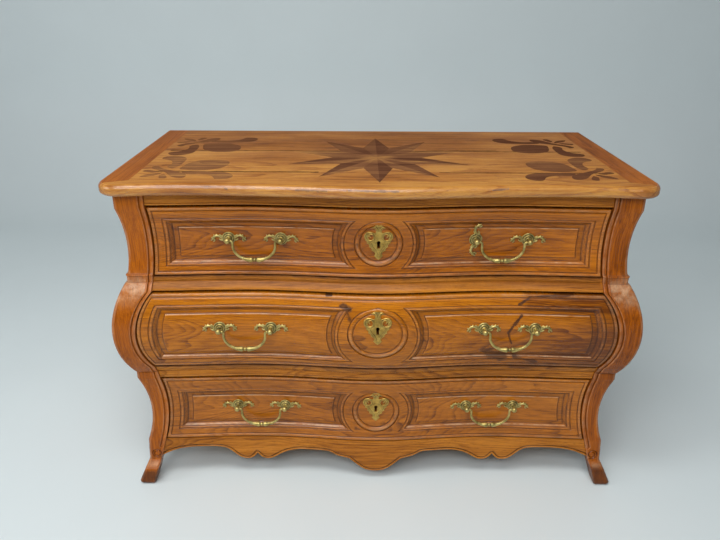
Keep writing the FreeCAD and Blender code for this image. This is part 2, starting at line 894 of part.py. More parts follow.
def star_pocket():
    corners = []
    for i in range(2 * star_points):
        turn = math.pi / 2 + i * math.pi / star_points
        reach = star_radius * (star_waist_share if i % 2 else 1)
        corners.append((reach * math.cos(turn), star_centre + reach * math.sin(turn)))
    return plan_prism(corners, full_height - inlay_thickness, full_height)


# One flower in its own plan, growing along the first number: leaf, petals, tie band and tails
flower_leaf = ((14.0, 0.0), (34.0, 27.0), (66.0, 48.0), (98.0, 50.0), (126.0, 34.0), (146.0, 0.0),
               (126.0, -34.0), (98.0, -50.0), (66.0, -48.0), (34.0, -27.0))
flower_petal = ((6.0, 24.0), (24.0, 33.0), (58.0, 66.0), (82.0, 100.0), (77.0, 134.0), (54.0, 148.0),
                (31.0, 134.0), (37.0, 108.0), (33.0, 82.0), (16.0, 60.0), (0.0, 44.0))
flower_band = ((-10.0, -66.0), (-7.0, 0.0), (-10.0, 66.0), (-22.0, 73.0), (-32.0, 64.0), (-29.0, 0.0),
               (-32.0, -64.0), (-22.0, -73.0))
flower_tail = ((-37.0, 0.0), (-56.0, 9.0), (-78.0, 9.0), (-94.0, 0.0), (-78.0, -9.0), (-56.0, -9.0))
flower_side_tail = ((-38.0, 14.0), (-43.0, 34.0), (-55.0, 50.0), (-65.0, 45.0), (-59.0, 28.0), (-50.0, 15.0))


def leaf(points, side, centre, flip_x, flip_y):
    # side mirrors a piece in the flower, the flips carry the flower to its corner of the top
    turn = math.radians(flower_turn)
    corners = []
    for along, across in points:
        x = -along * math.cos(turn) - side * across * math.sin(turn)
        y = along * math.sin(turn) - side * across * math.cos(turn)
        corners.append(Vector(centre[0] + flip_x * x, centre[1] + flip_y * y, full_height - inlay_thickness))
    curve = Part.BSplineCurve()
    curve.interpolate(corners, PeriodicFlag=True)
    return Part.Face(Part.Wire([curve.toShape()])).extrude(Vector(0, 0, inlay_thickness))


flower_pieces = (
    (flower_leaf, 1), (flower_petal, 1), (flower_petal, -1), (flower_band, 1), (flower_tail, 1),
    (flower_side_tail, 1), (flower_side_tail, -1),
)
stars = star_pieces()
flowers = []
for centre_y, flip_y in ((flower_front, 1), (flower_rear, -1)):
    for flip_x in (1, -1):
        centre = (flip_x * flower_half_span, centre_y)
        for points, side in flower_pieces:
            flowers.append(leaf(points, side, centre, flip_x, flip_y))
save("inlay_star", *stars)
save("inlay_flowers", *flowers)

cleat_far = top_half_width + top_corner_in
cleat_far_front = -cleat_mitre - top_corner_back * cleat_mitre_share
cleat = plan_prism([
    (cleat_inner_half, -cleat_front), (cleat_far, cleat_far_front), (cleat_far, far), (cleat_inner_half, far)],
    0, 2 * far)
pockets = [star_pocket()] + flowers
save("top_end_right", top_slab.common(cleat))
save("top_end_left", mirrored(top_slab.common(cleat)))
field = top_slab.cut(cleat).cut(mirrored(cleat))
for pocket in pockets:
    field = field.cut(pocket)
save("top_plank_front", field.common(box(-far, far, -far, seam_front, 0, 2 * far)))
save("top_plank_middle", field.common(box(-far, far, seam_front, seam_rear, 0, 2 * far)))
save("top_plank_rear", field.common(box(-far, far, seam_rear, far, 0, 2 * far)))


# Handles

def ball_depth(o):
    centre, height = o.handle
    return o.surface(centre, height) + field_sunk - stand_off


def turned(profile, x, y, z):
    # profile of (radius, distance back from the ball's middle), turned about a line along Y
    points = [Vector(r, t, 0) for r, t in profile]
    wire = Part.makePolygon(points + points[:1])
    solid = Part.Face(wire).revolve(Vector(0, 0, 0), Vector(0, 1, 0), 360)
    solid.translate(Vector(x, y, z))
    return solid


def handle_post(o, x):
    y = ball_depth(o)
    z = o.handle[1]
    stem_end = -o.inner + nut_thickness - y
    profile = [
        (0, 0), (neck_radius, 0), (neck_radius, collar_reach - collar_thickness),
        (collar_radius, collar_reach - collar_thickness), (collar_radius, collar_reach),
        (shank_radius, collar_reach), (shank_radius, stem_end), (0, stem_end),
    ]
    post = turned(profile, x, y, z)
    ball = Part.makeSphere(ball_radius, Vector(x, y, z))
    inward = 1 if abs(x) < o.handle[0] else -1
    inward = inward if x > 0 else -inward
    hole_start = x - inward * (pin_depth + pin_gap)
    start_point = Vector(hole_start, y, z)
    hole = Part.makeCylinder(pin_radius + pin_gap, 2 * ball_radius, start_point, Vector(inward, 0, 0))
    return post.fuse(ball).cut(hole).removeSplitter()


def handle_nut(o, x):
    half = nut_side / 2
    nut = box(x - half, x + half, -o.inner, -o.inner + nut_thickness, o.handle[1] - half, o.handle[1] + half)
    return nut.cut(Part.makeCylinder(shank_radius, 2 * far, Vector(x, -far, o.handle[1]), Vector(0, 1, 0)))


def rosette_arm(flip):
    # scrolled arm reaching from the dome, in its own upright plane
    root = rosette_arm_root
    reach = rosette_arm_length - rosette_curl_radius
    tip = rosette_arm_tip
    drop = rosette_curl_drop
    upper = arc(upright(0, root), upright(reach / 2, root / 2), upright(reach, tip - drop))
    lower = arc(upright(reach, -tip - drop), upright(reach / 2, -root / 2), upright(0, -root))
    body = along_y([wire_of([upper, line(upright(reach, tip - drop), upright(reach, -tip - drop)), lower,
                             line(upright(0, -root), upright(0, root))])], -far, far)
    curl = Part.makeCylinder(rosette_curl_radius, 2 * far, Vector(reach, -far, -drop), Vector(0, 1, 0))
    leaf_disc = Part.makeCylinder(rosette_leaf_radius, 2 * far,
                                  Vector(rosette_leaf_span, -far, rosette_leaf_rise), Vector(0, 1, 0))
    arm = body.fuse([curl, leaf_disc])
    return mirrored(arm) if flip else arm


def rosette(o, x, turn):
    z = o.handle[1]
    y = ball_depth(o)
    z0 = o.front_floor
    z1 = o.front_top
    arms = rosette_arm(False).fuse(rosette_arm(True))
    if turn:
        arms.rotate(Vector(0, 0, 0), Vector(0, 1, 0), turn)
    arms.translate(Vector(x, 0, z))
    seat = field_sunk - seat_gap
    plate = arms.common(front_slab(z0, z1, o.out, seat - rosette_thickness, seat))
    rise = stand_off - collar_reach
    ball = (rosette_dome_radius ** 2 + rise ** 2) / (2 * rise)
    dome = Part.makeSphere(ball, Vector(x, y + collar_reach + ball, z))
    dome = dome.common(Part.makeCylinder(rosette_dome_radius, 2 * far, Vector(x, -far, z), Vector(0, 1, 0)))
    dome = dome.common(front_slab(z0, z1, o.out, -far / 4, seat))
    whole = plate.fuse(dome)
    clear = Part.makeCylinder(collar_radius, 2 * far, Vector(x, y + collar_reach - 2 * far, z), Vector(0, 1, 0))
    hole = Part.makeCylinder(shank_radius, 2 * far, Vector(x, -far, z), Vector(0, 1, 0))
    return whole.cut(clear).cut(hole)


def bail():
    # one half as a bent bar, the bulbs turned about the low bar, then mirrored
    w = bail_half_width
    s = bail_shoulder
    bend = bail_drop - bail_straight
    pin = handle_spacing / 2 + pin_depth
    corner = s * (1 - math.sqrt(0.5))
    sweep = bend * math.sqrt(0.5)
    leg_foot = upright(w, -bail_straight)
    bend_middle = upright(w - bend + sweep, -bail_straight - sweep)
    bar_start = upright(w - bend, -bail_drop)
    path = Part.Wire([
        arc(upright(w + s, 0), upright(w + corner, -corner), upright(w, -s)),
        line(upright(w, -s), leg_foot),
        arc(leg_foot, bend_middle, bar_start),
        line(bar_start, upright(0, -bail_drop)),
    ])
    section = Part.Wire([Part.Circle(upright(w + s, 0), Vector(1, 0, 0), bail_radius).toShape()])
    bar = path.makePipeShell([section], True, False)
    stub = Part.makeCylinder(pin_radius, pin - w - s, upright(w + s, 0), Vector(1, 0, 0))
    profile = [
        Vector(0, 0, 0), Vector(bulb_start, 0, 0), Vector(bulb_start, bail_radius, 0),
        Vector(bulb_peak, bulb_radius, 0), Vector(bulb_end, bail_radius, 0),
        Vector(bail_ring_half, bail_radius, 0), Vector(bail_ring_half, bail_ring_radius, 0),
        Vector(0, bail_ring_radius, 0),
    ]
    bulb = Part.Face(Part.makePolygon(profile + profile[:1])).revolve(Vector(0, 0, 0), Vector(1, 0, 0), 360)
    bulb.translate(upright(0, -bail_drop))
    half = bar.fuse([stub, bulb])
    return half.fuse(mirrored(half)).removeSplitter()


bail_shape = bail()
for o in openings:
    y = ball_depth(o)
    centre, z = o.handle
    for side, sign in (("left", -1), ("right", 1)):
        hung = bail_shape.copy()
        hung.translate(Vector(sign * centre, y, z))
        save("bail_" + o.name + "_" + side, hung)
    posts = [handle_post(o, x) for x in post_spans(o)] + [handle_nut(o, x) for x in post_spans(o)]
    save("posts_" + o.name, *posts)
    turns = [0, 0, loose_rosette_turn if o is high else 0, 0]
    save("rosettes_" + o.name, *[rosette(o, x, turn) for x, turn in zip(post_spans(o), turns)])


# Keyhole plates and locks

def curved(runs):
    curves = []
    for points in runs:
        curve = Part.BSplineCurve()
        curve.interpolate(points)
        curves.append(curve.toShape())
    left = [edge.mirror(Vector(0, 0, 0), Vector(1, 0, 0)) for edge in curves]
    return wire_of(curves + left)


def plate_wire(o):
    half = [upright(x, o.key + z) for x, z in plate_outline]
    return curved([half[0:3], half[2:5], half[4:7], half[6:12], half[11:14]])


def plate_pocket(o):
    # a little wider than the plate, and straight across the notch beside its crest
    share = plate_pocket_share
    half = [upright(x * share, o.key + z * share) for x, z in plate_outline]
    return curved([half[0:3], [half[2], half[6]], half[6:12], half[11:14]])


def plate(o):
    body = along_y([plate_wire(o)], -far, far)
    for span in (-plate_eye_span, plate_eye_span):
        eye = Vector(span, -far, o.key + plate_eye_rise)
        body = body.cut(Part.makeCylinder(plate_eye_radius, 2 * far, eye, Vector(0, 1, 0)))
    seat = roundel_field_sunk - seat_gap
    body = body.common(front_slab(o.front_floor, o.front_top, o.out, seat - plate_thickness, seat))
    return body.cut(keyhole(o, -far, far))


for o in openings:
    y0 = -o.inner
    bolt_y = y0 + bolt_gap
    top = o.front_top - bolt_top_gap
    slot = box(-bolt_half_width - bolt_gap, bolt_half_width + bolt_gap, y0,
               bolt_y + bolt_thickness + bolt_gap, o.key + bolt_foot - bolt_gap, o.top)
    case = box(-lock_half_width, lock_half_width, y0, y0 + lock_thickness,
               o.key - lock_low, o.key + lock_high)
    case = case.cut(slot).cut(keyhole(o, y0, y0 + lock_key_depth))
    keeper_top = o.top - keeper_drop
    bolt_back = bolt_y + bolt_thickness
    keeper = box(-keeper_half_width, keeper_half_width, y0, bolt_back + bolt_gap + keeper_thickness,
                 keeper_top - keeper_height, keeper_top).cut(slot)
    bolt = box(-bolt_half_width, bolt_half_width, bolt_y, bolt_back, o.key + bolt_foot, top)
    save("lock_case_" + o.name, case, keeper)
    save("lock_bolt_" + o.name, bolt)
    save("key_plate_" + o.name, plate(o))
    side = drawer_side(o)
    save("drawer_" + o.name + "_side_right", side)
    save("drawer_" + o.name + "_side_left", mirrored(side))
    save("drawer_" + o.name + "_back", drawer_back(o))
    save("drawer_" + o.name + "_bottom", drawer_bottom(o))
    save("drawer_" + o.name + "_front", drawer_front(o))
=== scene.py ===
import math
import bpy
import bmesh
import numpy as np
from mathutils import Matrix, Vector


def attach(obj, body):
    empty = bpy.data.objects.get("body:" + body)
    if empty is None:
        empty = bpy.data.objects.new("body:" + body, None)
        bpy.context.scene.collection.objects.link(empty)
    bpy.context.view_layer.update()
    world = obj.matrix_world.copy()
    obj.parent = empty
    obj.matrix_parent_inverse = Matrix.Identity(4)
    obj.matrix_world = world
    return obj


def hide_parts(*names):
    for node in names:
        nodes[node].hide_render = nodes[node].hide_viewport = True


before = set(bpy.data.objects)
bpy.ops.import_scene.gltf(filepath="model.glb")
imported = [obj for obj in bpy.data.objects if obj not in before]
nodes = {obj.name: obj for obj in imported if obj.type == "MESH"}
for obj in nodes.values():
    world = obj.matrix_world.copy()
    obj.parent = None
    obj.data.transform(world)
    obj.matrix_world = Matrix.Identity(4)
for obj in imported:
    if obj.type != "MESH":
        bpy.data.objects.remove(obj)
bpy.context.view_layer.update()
scene = bpy.context.scene
mm = 0.001
print("frame loaded,", len(nodes), "solids")


def link(name, data):
    piece = bpy.data.objects.new(name, data)
    scene.collection.objects.link(piece)
    return piece


def put(tree, socket, value):
    if isinstance(value, bpy.types.NodeSocket):
        tree.links.new(value, socket)
    else:
        socket.default_value = value


def wire(tree, kind, inputs, **settings):
    node = tree.nodes.new(kind)
    for key, value in settings.items():
        setattr(node, key, value)
    for key, value in inputs.items():
        put(tree, node.inputs[key], value)
    return node


def tint(color):
    # screen colour, 0 to 255, as linear light
    line = [c / 255 for c in color]
    return [c / 12.92 if c <= 0.04045 else ((c + 0.055) / 1.055) ** 2.4 for c in line] + [1.0]


class Finish:
    # a material and the few calls that wire it up

    def __init__(self, name):
        self.material = bpy.data.materials.new(name)
        self.material.use_nodes = True
        self.tree = self.material.node_tree
        self.place = self.add("TexCoord", {}).outputs["Object"]

    def add(self, kind, inputs, **settings):
        return wire(self.tree, "ShaderNode" + kind, inputs, **settings)

    def sum(self, operation, *values):
        return self.add("Math", dict(enumerate(values)), operation=operation).outputs[0]

    def plus(self, total, *others):
        for other in others:
            total = self.sum("ADD", total, other)
        return total

    def times(self, first, second):
        return self.sum("MULTIPLY", first, second)

    def line(self, operation, *values, pick=0):
        return self.add("VectorMath", dict(enumerate(values)), operation=operation).outputs[pick]

    def axes(self, vector):
        return self.add("SeparateXYZ", {0: vector}).outputs

    def reach(self, first, second):
        return self.sum("SQRT", self.plus(self.sum("POWER", first, 2.0), self.sum("POWER", second, 2.0)))

    def noise(self, vector, scale, detail=3.0, roughness=0.55, pick="Fac"):
        inputs = {"Vector": vector, "Scale": scale, "Detail": detail, "Roughness": roughness}
        return self.add("TexNoise", inputs).outputs[pick]

    def stretch(self, vector, scale):
        return self.add("Mapping", {"Vector": vector, "Scale": scale}).outputs[0]

    def span(self, value, low, high, toLow=0.0, toHigh=1.0):
        return self.add("MapRange", {0: value, 1: low, 2: high, 3: toLow, 4: toHigh}, clamp=True).outputs[0]

    def blend(self, share, first, second):
        return self.add("Mix", {0: share, 6: first, 7: second}, data_type="RGBA").outputs[2]

    def shades(self, value, stops, step=False):
        node = self.add("ValToRGB", {0: value})
        ramp = node.color_ramp
        ramp.interpolation = "CONSTANT" if step else "LINEAR"
        while len(ramp.elements) < len(stops):
            ramp.elements.new(0.5)
        for element, (place, color) in zip(ramp.elements, stops):
            element.position = place
            element.color = tint(color)
        return node.outputs[0]

    def marked(self, name):
        return self.add("Attribute", {}, attribute_name=name, attribute_type="GEOMETRY").outputs["Fac"]

    def bump(self, height, strength, distance, **under):
        return self.add("Bump", {"Height": height, "Strength": strength, "Distance": distance, **under}).outputs[0]

    def coat(self, inputs):
        shader = self.tree.nodes["Principled BSDF"]
        for name, value in inputs.items():
            put(self.tree, shader.inputs[name], value)
        return self.material


# room and camera

cameraView = {"place": (-0.0494, -1.728, 1.2522), "lens": 32.575, "film": 36.0,
              "pitch": 0.4033, "yaw": -0.0035, "roll": 0.0057}
room = {"half": 7.0, "wallBack": 2.6, "bend": 0.8, "wallTop": 5.0, "color": (0.73, 0.81, 0.82), "dimmer": 0.94,
        "mottle": (2.2, 5), "rough": 0.6, "fill": 0.18, "fillColor": (0.93, 0.96, 1.0, 1)}
lamps = {  # place, aim, size, power, colour
    "ceiling": ((-0.45, -1.3, 3.2), (0, -0.2, 0.5), (2.2, 1.0), 50, (1.0, 0.98, 0.96)),
    "front": ((-0.5, -2.9, 2.7), (0, 0, 0.4), (3.0, 1.0), 60, (0.97, 0.98, 1.0)),
    "side": ((-3.2, -1.3, 1.8), (0, 0, 0.45), (1.4, 1.6), 24, (0.95, 0.97, 1.0)),
    "behind": ((0.6, 2.9, 2.4), (0, 0.2, 0.4), (2.6, 1.2), 9, (1.0, 0.98, 0.96)),
}


def placeCamera(view):
    data = bpy.data.cameras.new("camera")
    data.lens, data.sensor_width = view["lens"], view["film"]
    scene.camera = link("camera", data)
    turned = Matrix.Rotation(view["yaw"], 4, "Z") @ Matrix.Rotation(math.pi / 2 - view["pitch"], 4, "X")
    scene.camera.matrix_world = Matrix.Translation(view["place"]) @ turned @ Matrix.Rotation(view["roll"], 4, "Z")


def buildFloor(r):
    half, back, bend = r["half"], r["wallBack"], r["bend"]
    rows = [(-half, 0.0), (back - bend, 0.0)]
    rows += [(back - bend + bend * math.sin(a), bend - bend * math.cos(a)) for a in np.linspace(0.1, math.pi / 2, 14)]
    rows += [(back, r["wallTop"])]
    floor = bpy.data.meshes.new("floor")
    faces = [(2 * i, 2 * i + 1, 2 * i + 3, 2 * i + 2) for i in range(len(rows) - 1)]
    floor.from_pydata([(x, y, z) for y, z in rows for x in (-half, half)], [], faces)
    floor.polygons.foreach_set("use_smooth", [True] * len(faces))
    f = Finish("paleFloor")
    low = [c * r["dimmer"] for c in r["color"]] + [1]
    color = f.blend(f.noise(f.place, *r["mottle"]), low, r["color"] + (1,))
    floor.materials.append(f.coat({"Base Color": color, "Roughness": r["rough"]}))
    link("floor", floor)


def lightRoom(r):
    scene.world = bpy.data.worlds.new("studio")
    scene.world.use_nodes = True
    back = scene.world.node_tree.nodes["Background"]
    back.inputs["Color"].default_value = r["fillColor"]
    back.inputs["Strength"].default_value = r["fill"]
    for name, (place, aim, size, power, color) in lamps.items():
        light = bpy.data.lights.new(name, "AREA")
        light.shape = "RECTANGLE"
        light.size, light.size_y = size
        light.energy, light.color = power, color
        lamp = link(name, light)
        lamp.location = place
        lamp.rotation_euler = (Vector(aim) - Vector(place)).to_track_quat("-Z", "Y").to_euler()


placeCamera(cameraView)
buildFloor(room)
lightRoom(room)
scene.view_settings.view_transform = "Standard"
print("room ready")


# wood

# the dirt colour serves for real dirt and for painted shade, the worn colour for wear and for painted highlights
caseWood = {"pale": (194, 113, 17), "mid": (164, 90, 9), "dark": (102, 49, 6), "pore": (66, 31, 8),
            "dirt": (50, 22, 8), "worn": (228, 196, 158), "ring": 0.0042, "figure": 0.46, "gloss": 0.21, "sheen": 0.36}
topWood = {"pale": (195, 136, 61), "mid": (167, 105, 43), "dark": (112, 60, 20), "pore": (84, 48, 20),
           "dirt": (52, 28, 13), "worn": (206, 158, 90), "ring": 0.0060, "figure": 0.40, "gloss": 0.42,
           "sheen": 0.03, "edgeSheen": 0.75, "edge": (0.8478, 0.8496, 1.0, 0.0), "edgeGloss": 0.2}
innerWood = {"pale": (184, 142, 92), "mid": (166, 122, 76), "dark": (134, 92, 54), "pore": (104, 70, 42),
             "dirt": (60, 38, 22), "worn": (192, 152, 104), "ring": 0.010, "figure": 0.5, "gloss": 0.62, "sheen": 0.3}
inlayWood = {"pale": (190, 138, 78), "mid": (132, 89, 59), "dark": (92, 58, 41), "pore": (64, 42, 30),
             "dirt": (44, 24, 12), "worn": (150, 100, 60), "ring": 0.005, "figure": 0.2, "gloss": 0.46, "sheen": 0.0}
goldenWood = dict(caseWood, pale=(200, 121, 17), mid=(170, 97, 10), dark=(106, 53, 7))
redWood = dict(caseWood, pale=(192, 114, 26), mid=(164, 93, 16), dark=(104, 52, 9))
stileWood = dict(caseWood, pale=(186, 101, 10), mid=(157, 80, 6), dark=(100, 46, 5), figure=0.30, sheen=0.24)
railWood = dict(redWood, pale=(200, 126, 42), mid=(172, 103, 31), dark=(112, 60, 19), worn=(212, 158, 88), sheen=0.16)
cleatWood = dict(topWood, pale=(172, 98, 26), mid=(146, 78, 15), dark=(100, 50, 10))

grain = {
    "turns": {"X": (0, 0, 0), "Y": (0, 0, -math.pi / 2), "Z": (0, math.pi / 2, 0)},
    # finer along the board, finer across it, detail, roughness
    "fine": (5.0, 60.0, 2, 0.55), "fibre": (6.0, 250.0, 4, 0.65), "streak": (2.4, 90.0, 4, 0.6),
    "cloud": (2.0, 5.0, 3, 0.55), "pores": (55.0, 1300.0, 1, 0.55),
    "sway": (0.8, 3.0, 3.0), "swayNoise": (1.7, 3.0, 0.5), "spots": (34.0, 4, 0.7), "soft": (14.0, 2),
    # from this span of a noise to this share of the tone
    "deepSway": (0, 1, -0.06, 0.06), "wideSway": (0, 1, -0.05, 0.05), "ringSway": (0, 1, -0.5, 0.5),
    "rise": (0.35, 0.92), "fall": (1.0, 0.93), "uneven": (0, 1, 0.2, 1.0), "fibreTone": (0.36, 0.64, -0.22, 0.22),
    "streakTone": (0.36, 0.64, -0.13, 0.13), "cloudTone": (0.06, 0.5), "dash": (0.56, 0.68),
    "dashLate": (0.0, 0.6, 0.2, 0.7), "wearAndHighlightSpots": (0.35, 0.62, 0.15, 1.0), "dirtAndShadeSpots": (0.3, 0.6, 0.6, 1.0),
    "cloudSpan": (0.34, 0.66), "glossSpan": (0.3, 0.7),
    "glossTone": (-0.05, 0.07), "softBump": (0.25, 0.004), "bump": (0.22, 0.0006), "stops": (0.0, 0.45, 1.0),
    "wearAndHighlightShare": 0.62, "dull": 0.25, "dashDull": 0.12, "fibreLift": 0.35, "dashDrop": 0.8,
}


def woodFinish(name, kind, along, pith, slope, start=0.0, tone=0.0, spans=(), marks=(), extra=None):
    # rings about a slanting heart line give the board its flame figure
    f, g = Finish(name), grain
    mapping = {"Vector": f.place, "Rotation": g["turns"][along], "Location": (start, 0, 0)}
    board = f.add("Mapping", mapping).outputs[0]

    def layer(key):
        length, width, detail, roughness = g[key]
        return f.noise(f.stretch(board, (length, width, width)), 1.0, detail, roughness)

    parts = f.axes(board)
    drift = f.axes(f.noise(f.stretch(board, g["sway"]), *g["swayNoise"], "Color"))
    deep = f.sum("MULTIPLY_ADD", parts[0], slope, f.plus(parts[1], pith[0]))
    deep = f.plus(deep, f.span(drift[0], *g["deepSway"]))
    wide = f.plus(parts[2], pith[1], f.span(drift[1], *g["wideSway"]))
    rings = f.plus(f.sum("DIVIDE", f.reach(deep, wide), kind["ring"]), f.span(layer("fine"), *g["ringSway"]))
    yearly = f.sum("FRACT", rings)
    uneven = f.add("TexWhiteNoise", {"W": f.sum("FLOOR", rings)}, noise_dimensions="1D").outputs["Value"]
    late = f.times(f.span(yearly, *g["rise"]), f.span(yearly, *g["fall"]))
    late = f.times(late, f.span(uneven, *g["uneven"]))
    fibre, cloud = layer("fibre"), layer("cloud")
    amount = f.plus(f.times(late, kind["figure"]), f.span(fibre, *g["fibreTone"]),
                    f.span(layer("streak"), *g["streakTone"]),
                    f.span(cloud, *g["cloudSpan"], *(share + tone for share in g["cloudTone"])))
    if spans:
        amount = f.plus(amount, alongAxes(f, spans))
    if extra:
        amount = f.plus(amount, extra(f))
    color = f.shades(amount, [(at, kind[key]) for at, key in zip(g["stops"], ("pale", "mid", "dark"))])
    dash = f.times(f.span(layer("pores"), *g["dash"]), f.span(late, *g["dashLate"]))
    color = f.blend(dash, color, tint(kind["pore"]))
    spots = f.noise(f.place, *g["spots"])
    # wear and painted highlight: the wear mask lightens rubbed edges and also up-facing faces toward the worn colour
    wearAndHighlight = f.times(f.marked("wearAndHighlight"), f.span(spots, *g["wearAndHighlightSpots"]))
    color = f.blend(f.times(wearAndHighlight, g["wearAndHighlightShare"]), color, tint(kind["worn"]))
    # dirt and painted shade: the groove mask darkens grooves, gaps and faces turned from the light toward the dirt
    # colour
    dirt = f.times(f.marked("dirtAndShadeMask"), f.span(spots, *g["dirtAndShadeSpots"]))
    for mark in marks:
        dirt = f.sum("MAXIMUM", dirt, markShare(f, spots, *mark))
    color = f.blend(dirt, color, tint(kind["dirt"]))
    sheen = kind["sheen"]
    rough = f.span(cloud, *g["glossSpan"], *(kind["gloss"] + share for share in g["glossTone"]))
    rough = f.plus(rough, f.times(dirt, g["dull"]))
    if "edge" in kind:
        rim = f.span(f.axes(f.place)[2], *kind["edge"])
        sheen = f.span(rim, 0, 1, sheen, kind["edgeSheen"])
        rough = f.sum("SUBTRACT", rough, f.times(rim, kind["edgeGloss"]))
    height = f.sum("SUBTRACT", f.times(fibre, g["fibreLift"]), f.times(dash, g["dashDrop"]))
    soft = f.bump(f.noise(f.place, *g["soft"]), *g["softBump"])
    return f.coat({"Base Color": color, "Specular IOR Level": sheen,
                   "Roughness": f.plus(rough, f.times(dash, g["dashDull"])),
                   "Normal": f.bump(height, *g["bump"], Normal=soft)})


markLook = {"noises": ((90.0, 4, 0.7), (22.0, 2)), "ragged": (0.2, 0.8), "spots": (0.3, 0.6, 0.7, 1.0)}


def markShare(f, spots, plane, start, end, width, soft, depth):
    # crack or stain between two points of a face, in millimetres
    a, b = (Vector((p[0], p[1] * plane[1], p[1] * plane[2])) * mm for p in (start, end))
    ahead = f.line("SUBTRACT", f.line("MULTIPLY", f.place, plane), a)
    share = f.span(f.sum("DIVIDE", f.line("DOT_PRODUCT", ahead, b - a, pick=1), (b - a).length_squared), 0, 1)
    foot = f.line("SCALE", b - a)
    put(f.tree, foot.node.inputs["Scale"], share)
    ragged = f.line("LENGTH", f.line("SUBTRACT", ahead, foot), pick=1)
    for noise in markLook["noises"]:
        ragged = f.plus(ragged, f.span(f.noise(f.place, *noise), *markLook["ragged"], -soft * mm, soft * mm))
    fade = f.span(ragged, width * mm, (width + soft) * mm, depth, 0.0)
    return f.times(fade, f.span(spots, *markLook["spots"]))


star = {"centre": (0.0, -0.028, 0), "heart": (0.02, 0.06, 0.3, 1.0), "lift": 0.22,
        # clockwise from the front point, half a point each
        "tones": [0.60, 0.44, 0.82, 0.42, 0.84, 0.40, 0.46, 0.60, 0.82, 0.66,
                  0.92, 0.78, 0.56, 0.36, 0.48, 0.92, 0.42, 0.74, 0.46, 0.86]}


def starShade(f):
    x, y, _ = f.axes(f.line("SUBTRACT", f.place, star["centre"]))
    stops = [(i / len(star["tones"]), [255 * (t ** (1 / 2.2))] * 3) for i, t in enumerate(star["tones"])]
    tone = f.shades(f.span(f.sum("ARCTAN2", x, y), -math.pi, math.pi), stops, True)
    return f.sum("SUBTRACT", f.times(tone, f.span(f.reach(x, y), *star["heart"])), star["lift"])


def alongAxes(f, spans):
    places = dict(zip("xyz", f.axes(f.place)))
    return f.plus(*(f.span(places[axis], *span) for axis, *span in spans))


# axis, from, to, tone at each: the right flowers darker and the left front one bleached,
# the fronts darker at the left end, painted shade, and lighter along the high drawer's upper rim, painted light where
# the top shades it;
# the top rubbed bright at the front and darker low on its front edge, painted shade
flowerSpans = [("x", -0.05, 0.05, 0.0, 0.34), ("y", -0.03, 0.03, 0.08, 0.34)]
frontSpans = [("x", -0.35, -0.02, 0.12, 0.0), ("z", 0.758, 0.782, 0.0, -0.32)]
topSpans = [("y", -0.3, 0.3, -0.12, 0.22), ("z", 0.826, 0.838, 0.08, 0.0)]
# on the middle drawer: lighter along the up-facing top, painted light; darker at the right end and towards both ends
bellySpans = [("z", 0.52, 0.55, 0.0, -0.14), ("x", 0.38, 0.53, 0.0, 0.34),
              ("x", -0.4, -0.05, 0.13, 0.0), ("x", 0.05, 0.4, 0.0, 0.13)]
bellyPatch = {"x": (0.352, 0.372), "z": (0.522, 0.532), "tone": 0.5}
topMottle = {"stretch": (5.0, 11.0, 5.0), "noise": (1.0, 6, 0.7), "tone": (0.34, 0.66, -0.2, 0.24)}


def mottled(f):
    return f.span(f.noise(f.stretch(f.place, topMottle["stretch"]), *topMottle["noise"]), *topMottle["tone"])


def patched(f):
    # a darker piece let in at the right end
    x, _, z = f.axes(f.place)
    return f.times(f.times(f.span(x, *bellyPatch["x"]), f.span(z, *bellyPatch["z"])), bellyPatch["tone"])


# plane of the face, start, end, width, soft edge, depth of tone
upright, level = (1, 0, 1), (1, 1, 0)
bellyMarks = [
    (upright, (350, 546), (374, 562), 2.6, 2.4, 0.95), (upright, (376, 564), (480, 571), 0.9, 2.2, 0.85),
    (upright, (357, 516), (340, 494), 2.4, 2.4, 0.95), (upright, (340, 494), (327, 470), 1.3, 2.2, 0.9),
    (upright, (327, 470), (338, 440), 0.8, 2.0, 0.8), (upright, (274, 414), (318, 398), 4.0, 9.0, 0.75),
    (upright, (352, 398), (405, 385), 1.8, 5.0, 0.85), (upright, (-86, 546), (-70, 538), 4.6, 5.0, 0.9),
    (upright, (-74, 532), (-68, 514), 2.6, 5.0, 0.8), (upright, (-125, 572), (-115, 572), 3.6, 1.6, 0.95),
]
topMarks = [
    (level, (-560, -181), (-150, -181), 3.2, 2.4, 0.9), (level, (150, -181), (560, -181), 2.2, 2.4, 0.8),
    (level, (-560, 47), (560, 47), 3.2, 2.4, 0.85), (level, (140, 62), (330, 66), 2.4, 2.4, 0.8),
]
rimMarks = [
    (upright, (-190, 842), (-120, 841), 0.2, 2.2, 0.6), (upright, (-70, 844), (40, 843), 0.2, 2.4, 0.6),
    (upright, (255, 842), (290, 844), 0.3, 2.0, 0.6), (upright, (-352, 842), (-347, 841), 1.6, 1.6, 0.7),
]
lowMarks = [(upright, (-52, 166), (-44, 163), 3.0, 4.0, 0.6)]
